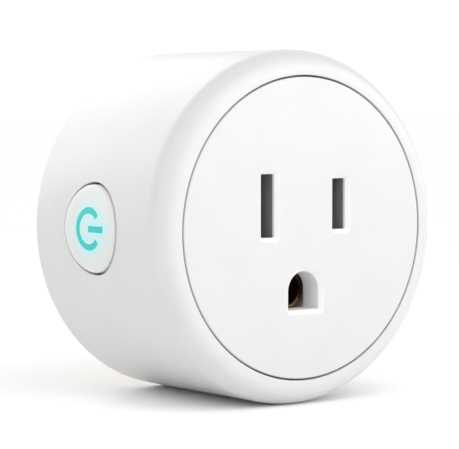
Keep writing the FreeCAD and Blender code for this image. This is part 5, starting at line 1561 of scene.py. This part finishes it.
@dataclass
class PushButton:
    """Side button: cap that follows the drum's curve, lit symbol flush in it; sizes in millimetres."""

    shop: Workshop
    radius: float = 6.1
    proud: float = 25.0
    edge: float = 0.4
    wall: float = 1.2
    skin: float = 1.5
    rim: Triple = (7.0, 21.65, 20.75)
    symbol: float = 2.95
    stroke: float = 0.8
    bar: float = 3.5
    opening: float = 40.0
    guide: float = 4.7
    stem: Point2 = (1.5, 19.9)
    dome_skin: float = 0.12
    travel: float = 0.3
    segments: int = 144
    depth: float = Layout.button

    def crown(self, across: float, side: float) -> float:
        """Distance of the cap's face from the drum's axis.

        Args:
            across: Distance from the button's axis.
            side: Height above the button's axis.

        Returns:
            The distance.
        """
        start = self.radius - self.edge
        drop = 0.0
        if across > start:
            drop = self.edge - math.sqrt(max(self.edge ** 2 - (across - start) ** 2, 0.0))
        return math.sqrt(self.proud ** 2 - side ** 2) - drop

    def cap(self) -> Piece:
        """Cap shell with the symbol cut through it.

        Returns:
            The cap.
        """
        start = self.radius - self.edge
        spread = [0.6, 1.4, 2.3, 3.2, 4.1, 4.9, start]
        spread += [start + self.edge * math.sin(math.radians(a)) for a in (18, 36, 54, 72, 90)]
        rim, top, under = self.rim
        inner = self.radius - self.wall
        ceiling = self.proud - self.skin
        rows: list[tuple[float, float | None]] = [(across, None) for across in spread]
        rows += [(self.radius, top + 0.15), (self.radius + 0.15, top), (rim - 0.1, top), (rim, top - 0.1),
                 (rim, under + 0.1), (rim - 0.1, under), (inner, under), (inner, ceiling - 0.2),
                 (inner - 0.2, ceiling)]
        shape = bmesh.new()
        loops = []
        for across, level in rows:
            loop = []
            for i in range(self.segments):
                angle = TURN * i / self.segments
                y, z = across * math.cos(angle), across * math.sin(angle)
                x = self.crown(across, z) if level is None else level
                loop.append(shape.verts.new(Vector((-x, -self.depth + y, z)) * MM))
            loops.append(loop)
        for near, far in zip(loops, loops[1:]):
            for i in range(self.segments):
                j = (i + 1) % self.segments
                shape.faces.new((near[i], near[j], far[j], far[i]))
        crest = shape.verts.new(Vector((-self.crown(0.0, 0.0), -self.depth, 0.0)) * MM)
        for i in range(self.segments):
            shape.faces.new((loops[0][i], loops[0][(i + 1) % self.segments], crest))
        shape.faces.new(loops[-1])
        cap = from_bmesh("button_cap_shell", shape)
        for cutter in self.prisms("symbol_cut", 0.03, self.proud + 1.0, ceiling - 1.0):
            cap = carved(cap, cutter)
        return self.shop.dressed(smooth(cap, 38.0), "button_white")

    def prisms(self, name: str, grow: float, outside: float, inside: float) -> list[Piece]:
        """The symbol as two prisms: an open ring and a bar that points to the front.

        Args:
            name: Start of their names.
            grow: Clearance around the symbol.
            outside: Outer end, from the drum's axis.
            inside: Inner end.

        Returns:
            The ring and the bar.
        """
        start, end = 180.0 + self.opening - grow * 10, 540.0 - self.opening + grow * 10
        centre = (-self.depth, 0.0)
        outline = arc(centre, self.symbol + grow, start, end, 72)
        outline += arc(centre, self.symbol - self.stroke - grow, end, start, 72)
        half = self.stroke / 2 + grow
        near, far = -self.depth + grow, -self.depth - self.bar - grow
        bar = [(near, half), (far, half), (far, -half), (near, -half)]
        shapes = []
        for label, points in (("ring", outline), ("bar", bar)):
            rings = [[Vector((-x, y, z)) * MM for y, z in points] for x in (outside, inside)]
            shapes.append(loft(f"{name}_{label}", rings))
        return shapes

    def light_guide(self) -> Piece:
        """Guide with the symbol's two bars of light, a base disc and the stem that meets the switch.

        Returns:
            The guide.
        """
        ceiling = self.proud - self.skin
        parts = []
        for prism in self.prisms("guide", 0.0, self.proud + 1.0, ceiling - 0.5):
            ring = arc((0.0, 0.0), self.proud - 0.01, 0.0, 360.0 - 360.0 / 512, 511)
            drum = loft("drum", [[Vector((x, y, z)) * MM for x, z in ring] for y in (-25.0, -5.0)])
            parts.append(smooth(carved(prism, drum, "INTERSECT"), 30.0))
        radius, tip = self.stem
        base = [(0.0, 0.0, 0.0), (self.guide, 0.0, 0.1), (self.guide, 1.0, 0.1), (radius, 1.0, 0.1),
                (radius, ceiling - tip, 0.15), (0.0, ceiling - tip, 0.0)]
        disc = self.shop.turned("guide_base", "guide_cyan", base, 72, 4)
        turn = Euler((0.0, 0.0, math.radians(90.0))).to_matrix()
        parts.append(moved(smooth(disc), (-ceiling * MM, -self.depth * MM, 0.0), turn))
        for part in parts:
            self.shop.dressed(part, "guide_cyan")
        return joined("light_guide_clear", parts)

    def snap_dome(self) -> None:
        """Steel dome under the plunger."""
        low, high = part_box("switch_dome")
        tall, rim, skin = (high.x - low.x) / MM, (high.z - low.z) / 2 / MM, self.dome_skin
        crown = rim / 3
        corners = [(0.0, -tall, 0.0), (crown, -tall, 0.5), (rim, -skin, 0.05), (rim, 0.0, 0.02),
                   (rim - 2 * skin, 0.0, 0.0), (crown - skin, skin - tall, 0.5), (0.0, skin - tall, 0.0)]
        turn = Euler((0.0, 0.0, math.radians(90.0))).to_matrix()
        dome = self.shop.turned("snap_dome", "dome_steel", corners, 64, 5)
        dome = moved(smooth(dome), (high.x, -self.depth * MM, 0.0), turn)
        self.shop.placed(dome, Body.PLUG, "dome_steel", "switch_dome")
        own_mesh(dome)

    def build(self) -> None:
        """Make and place the pieces."""
        self.shop.placed(self.cap(), Body.BUTTON, "button_white", "button_cap")
        self.shop.placed(self.light_guide(), Body.BUTTON, "guide_cyan", "light_guide")
        self.snap_dome()


@dataclass
class Windings:
    """Wire wound on the relay's bobbin and on the choke; sizes in millimetres."""

    shop: Workshop
    wire: float = 0.24

    def wound(self, name: str, node: str, core: float, layers: int) -> None:
        """Wind a node's space full of wire, layer on layer.

        Args:
            name: The piece's name.
            node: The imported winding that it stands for.
            core: Radius of what it is wound on.
            layers: Layers of wire.
        """
        low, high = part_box(node)
        centre = (low + high) / 2
        length, outer = (high.y - low.y) / MM, (high.x - low.x) / 2 / MM
        step = (outer - core) / layers
        shells = []
        for layer in range(layers):
            wire = min(self.wire, step) / 2
            radius = outer - wire - layer * step
            turns = max(math.floor((length - 2 * wire) / (2 * wire)) - 0.5, 1.0)
            values = {"Turns": turns, "Length": turns * 2 * wire * MM, "Radius": radius * MM,
                      "Wire": wire * 1.02 * MM, "Steps": 40, "Sides": 8,
                      "Finish": self.shop.palette.get("copper_wire")}
            coil = grown(points_host([(0.0, 0.0, 0.0)]), self.shop.trees.coil, values, "layer")
            ys = [corner[1] for corner in coil.bound_box]
            shells.append(moved(coil, (centre.x, centre.y - (min(ys) + max(ys)) / 2, centre.z)))
        edge, near, far = outer - self.wire * 0.6, 0.05, length - 0.05
        fill = [(core, near, 0.0), (edge, near, 0.0), (edge, far, 0.0), (core, far, 0.0), (core, near, 0.0)]
        drum = self.shop.turned("fill", "copper_wire", fill, 48, 2)
        shells.append(moved(smooth(drum), (centre.x, high.y, centre.z)))
        self.shop.placed(joined(name, shells), Body.PLUG, "copper_wire", node)

    def build(self) -> None:
        """Make and place the pieces."""
        self.wound("relay_coil_wire", "relay_winding", 2.0, 1)
        self.wound("choke_coil_wire", "choke_winding", 1.2, 1)


@dataclass
class BoardParts:
    """Cans, small chips and solder joints on the main board; sizes in millimetres."""

    shop: Workshop
    groove: Point2 = (0.35, 1.6)

    def can(self, name: str, node: str, slot: str) -> None:
        """Electrolytic can with its rolled groove and the sleeve's lip around the top.

        Args:
            name: The piece's name.
            node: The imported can.
            slot: The finish's own name.
        """
        low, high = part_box(node)
        centre = (low + high) / 2
        radius, foot, top = (high.x - low.x) / 2 / MM, -high.y / MM, -low.y / MM
        deep, at = self.groove
        lip = radius - 0.75
        corners = [(0.0, foot, 0.0), (radius, foot, 0.2), (radius, foot + at - 0.45, 0.15),
                   (radius - deep, foot + at, 0.25), (radius, foot + at + 0.45, 0.15), (radius, top, 0.5),
                   (lip, top, 0.05), (lip, top - 0.12, 0.0), (0.0, top - 0.12, 0.0)]
        can = self.shop.turned(name, slot, corners, 64, 5)
        can = moved(smooth(can, 40.0), (centre.x, 0.0, centre.z))
        self.shop.placed(can, Body.PLUG, "can_sleeve", node)

    def chips(self) -> None:
        """Chip resistors and capacitors, with tinned ends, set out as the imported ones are."""
        places = islands("surface_passives")
        low, high = places[0]
        size = [(b - a) / 2 for a, b in zip(low, high)]
        body = rounded_box("chip", (-size[0] * 0.96, -size[1] * 0.92, -size[2] * 0.62),
                           (size[0] * 0.96, size[1] * 0.92, size[2] * 0.62), 0.00006)
        ends = []
        for sign in (-1.0, 1.0):
            near, far = sorted((sign * size[2] * 0.6, sign * size[2]))
            ends.append(rounded_box("end", (-size[0], -size[1], near), (size[0], size[1], far), 0.00009))
        centres = [tuple((a + b) / 2 for a, b in zip(*box)) for box in places]
        bodies = self.shop.repeated("passive_bodies", "ferrite", body, centres)
        caps = self.shop.repeated("passive_ends", "lead_tin", joined("ends", ends), centres)
        self.shop.placed(bodies, Body.PLUG, "ferrite", "surface_passives")
        self.shop.placed(caps, Body.PLUG, "lead_tin", "surface_passives")

    def joints(self) -> None:
        """Solder fillets around the leads and pins on the board's rear face."""
        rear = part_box("main_board")[1].y / MM
        corners = [(0.28, 0.0, 0.0), (0.72, 0.0, 0.0), (0.46, -0.18, 0.15), (0.36, -0.5, 0.1),
                   (0.28, -0.62, 0.0), (0.28, 0.0, 0.0)]
        part = smooth(self.shop.turned("fillet", "lead_tin", corners, 24, 3), 60.0)
        places = []
        for node in ("component_leads", "header_pins"):
            for low, high in islands(node):
                places.append(((low[0] + high[0]) / 2, rear * MM, (low[2] + high[2]) / 2))
        piece = self.shop.repeated("solder_joints", "lead_tin", part, places)
        self.shop.placed(piece, Body.PLUG, "lead_tin")

    def build(self) -> None:
        """Make and place the pieces."""
        self.can("bulk_can", "bulk_capacitor", "can_sleeve")
        self.can("output_can", "output_capacitor", "can_small")
        self.chips()
        self.joints()


@dataclass
class CarriedOver:
    """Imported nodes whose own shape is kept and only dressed."""

    shop: Workshop
    slots: Mapping[str, str] = field(default_factory=lambda: {"switch_board": "board_upright"})

    def build(self) -> None:
        """Dress every node that is still shown."""
        record = {row["node"]: row["material_slot"] for row in frame["record"]["subparts"]}
        for name, node in frame["nodes"].items():
            if node.hide_render:
                continue
            material = self.shop.palette.get(self.slots.get(name, record[name]))
            if not node.material_slots:
                node.data.materials.append(material)
            for slot in node.material_slots:
                slot.material = material
            LOG.info("%s: kept, dressed in %s", name, material.name)


# ---- studio ------------------------------------------------------------------------------------


@dataclass(frozen=True)
class Glow:
    """Distant soft panel in the surround.

    Args:
        azimuth: Degrees from the outlet face's own direction, towards +X.
        elevation: Degrees above the horizon.
        strength: Radiance added to the even surround.
        core: Half angle that is fully lit, in degrees.
        edge: Half angle at which it has faded, in degrees.
    """

    azimuth: float
    elevation: float
    strength: float
    core: float
    edge: float

    def towards(self) -> Vector:
        """Unit vector to the panel."""
        a, e = math.radians(self.azimuth), math.radians(self.elevation)
        return Vector((math.sin(a) * math.cos(e), -math.cos(a) * math.cos(e), math.sin(e)))


@dataclass
class Studio:
    """Pale floor, soft light and the camera."""

    low: float
    eye: Triple = (-0.179715, -0.248604, 0.015942)
    azimuth: float = -37.431
    elevation: float = 3.135
    lens: float = 160.49
    surround: float = 0.48
    glows: Sequence[Glow] = (
        Glow(180, 20, 2.00, 14, 32), Glow(60, 8, 2.10, 14, 32), Glow(20, 8, 1.50, 14, 32),
        Glow(-140, 14, 0.90, 14, 32), Glow(140, 8, 0.58, 16, 34), Glow(-20, 8, 0.33, 14, 32),
        Glow(-60, 42, 0.86, 18, 40), Glow(180, 42, 0.42, 18, 40),
    )
    softbox: float = 0.17
    softbox_at: Triple = (0.0, -0.186, 0.167)
    softbox_aim: Triple = (0.0, -0.02, 0.0)
    softbox_size: float = 0.22
    backdrop: float = 1.04
    band: Point2 = (0.12, 0.21)

    def floor(self) -> None:
        """Plain pale floor under the object."""
        shape = bmesh.new()
        corners = [shape.verts.new((x, y, self.low)) for x, y in ((-9, -9), (9, -9), (9, 9), (-9, 9))]
        shape.faces.new(corners)
        piece = from_bmesh("floor", shape)
        graph = Shade("floor_paint")
        clouds = graph.ramp(graph.noise(0.05, 2.0), 0.3, 0.7)
        tone = graph.blend(clouds, (0.99, 0.99, 0.99), (0.98, 0.98, 0.98))
        graph.set(Base_Color=tone, Roughness=0.9, Specular_IOR_Level=0.0)
        piece.data.materials.append(graph.material)
        piece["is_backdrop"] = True

    def lights(self) -> None:
        """Even surround with a white band behind the floor, soft panels in it, and one near softbox."""
        scene = bpy.context.scene
        scene.world = bpy.data.worlds.new("surround")
        scene.world.use_nodes = True
        graph = Graph(scene.world.node_tree)
        direction = graph.add("ShaderNodeTexCoord").outputs["Generated"]
        total: object = self.surround
        for glow in self.glows:
            both = {0: direction, 1: glow.towards()}
            facing = graph.add("ShaderNodeVectorMath", both, operation="DOT_PRODUCT")
            span = {"Value": facing.outputs["Value"], "From Min": math.cos(math.radians(glow.edge)),
                    "From Max": math.cos(math.radians(glow.core)), "To Max": glow.strength}
            total = graph.math("ADD", total, graph.add("ShaderNodeMapRange", span).outputs[0])
        height = graph.add("ShaderNodeSeparateXYZ", {0: direction}).outputs[2]
        band = {"Value": height, "From Min": self.band[1], "From Max": self.band[0], "To Max": self.backdrop}
        total = graph.math("MAXIMUM", total, graph.add("ShaderNodeMapRange", band).outputs[0])
        graph.tree.links.new(total, graph.tree.nodes["Background"].inputs["Strength"])
        graph.tree.nodes["Background"].inputs["Color"].default_value = (1.0, 1.0, 1.0, 1.0)
        scene.view_settings.view_transform = "Standard"
        self.panel("softbox", self.softbox_at, self.softbox_aim, self.softbox_size, self.softbox)

    def panel(self, name: str, place: Sequence[float], aim: Sequence[float], size: float,
              power: float) -> None:
        """Add a square soft light.

        Args:
            name: Its name.
            place: Where it stands.
            aim: The point that it faces.
            size: Side length.
            power: Watts.
        """
        light = bpy.data.lights.new(name, "AREA")
        light.shape, light.size, light.energy = "SQUARE", size, power
        lamp = bpy.data.objects.new(name, light)
        lamp.location = place
        lamp.rotation_euler = (Vector(aim) - Vector(place)).to_track_quat("-Z", "Y").to_euler()
        bpy.context.scene.collection.objects.link(lamp)

    def camera(self) -> None:
        """Camera at the object's own viewing angle."""
        data = bpy.data.cameras.new("camera")
        data.lens, data.sensor_width = self.lens, 36.0
        data.clip_start, data.clip_end = 0.01, 20.0
        camera = bpy.data.objects.new("camera", data)
        a, e = math.radians(self.azimuth), math.radians(self.elevation)
        back = Vector((math.sin(a) * math.cos(e), -math.cos(a) * math.cos(e), math.sin(e)))
        camera.location = self.eye
        camera.rotation_mode = "QUATERNION"
        camera.rotation_quaternion = (-back).to_track_quat("-Z", "Y")
        bpy.context.scene.collection.objects.link(camera)
        bpy.context.scene.camera = camera

    def build(self) -> None:
        """Set everything up."""
        self.floor()
        self.lights()
        self.camera()


def main() -> None:
    """Build the sub-assemblies in order, then set the studio's floor under the imported model's box."""
    logging.basicConfig(level=logging.INFO, format="%(name)s: %(message)s")
    cad_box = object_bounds()
    shop = Workshop(Trees(), Palette())
    for part in (Housing(shop), FacePlate(shop), RearCover(shop), Prongs(shop), Contacts(shop),
                 PushButton(shop), Windings(shop), BoardParts(shop), CarriedOver(shop)):
        LOG.info("building %s", type(part).__name__)
        part.build()
    Studio(cad_box[0].z).build()


if __name__ == "__main__":
    main()
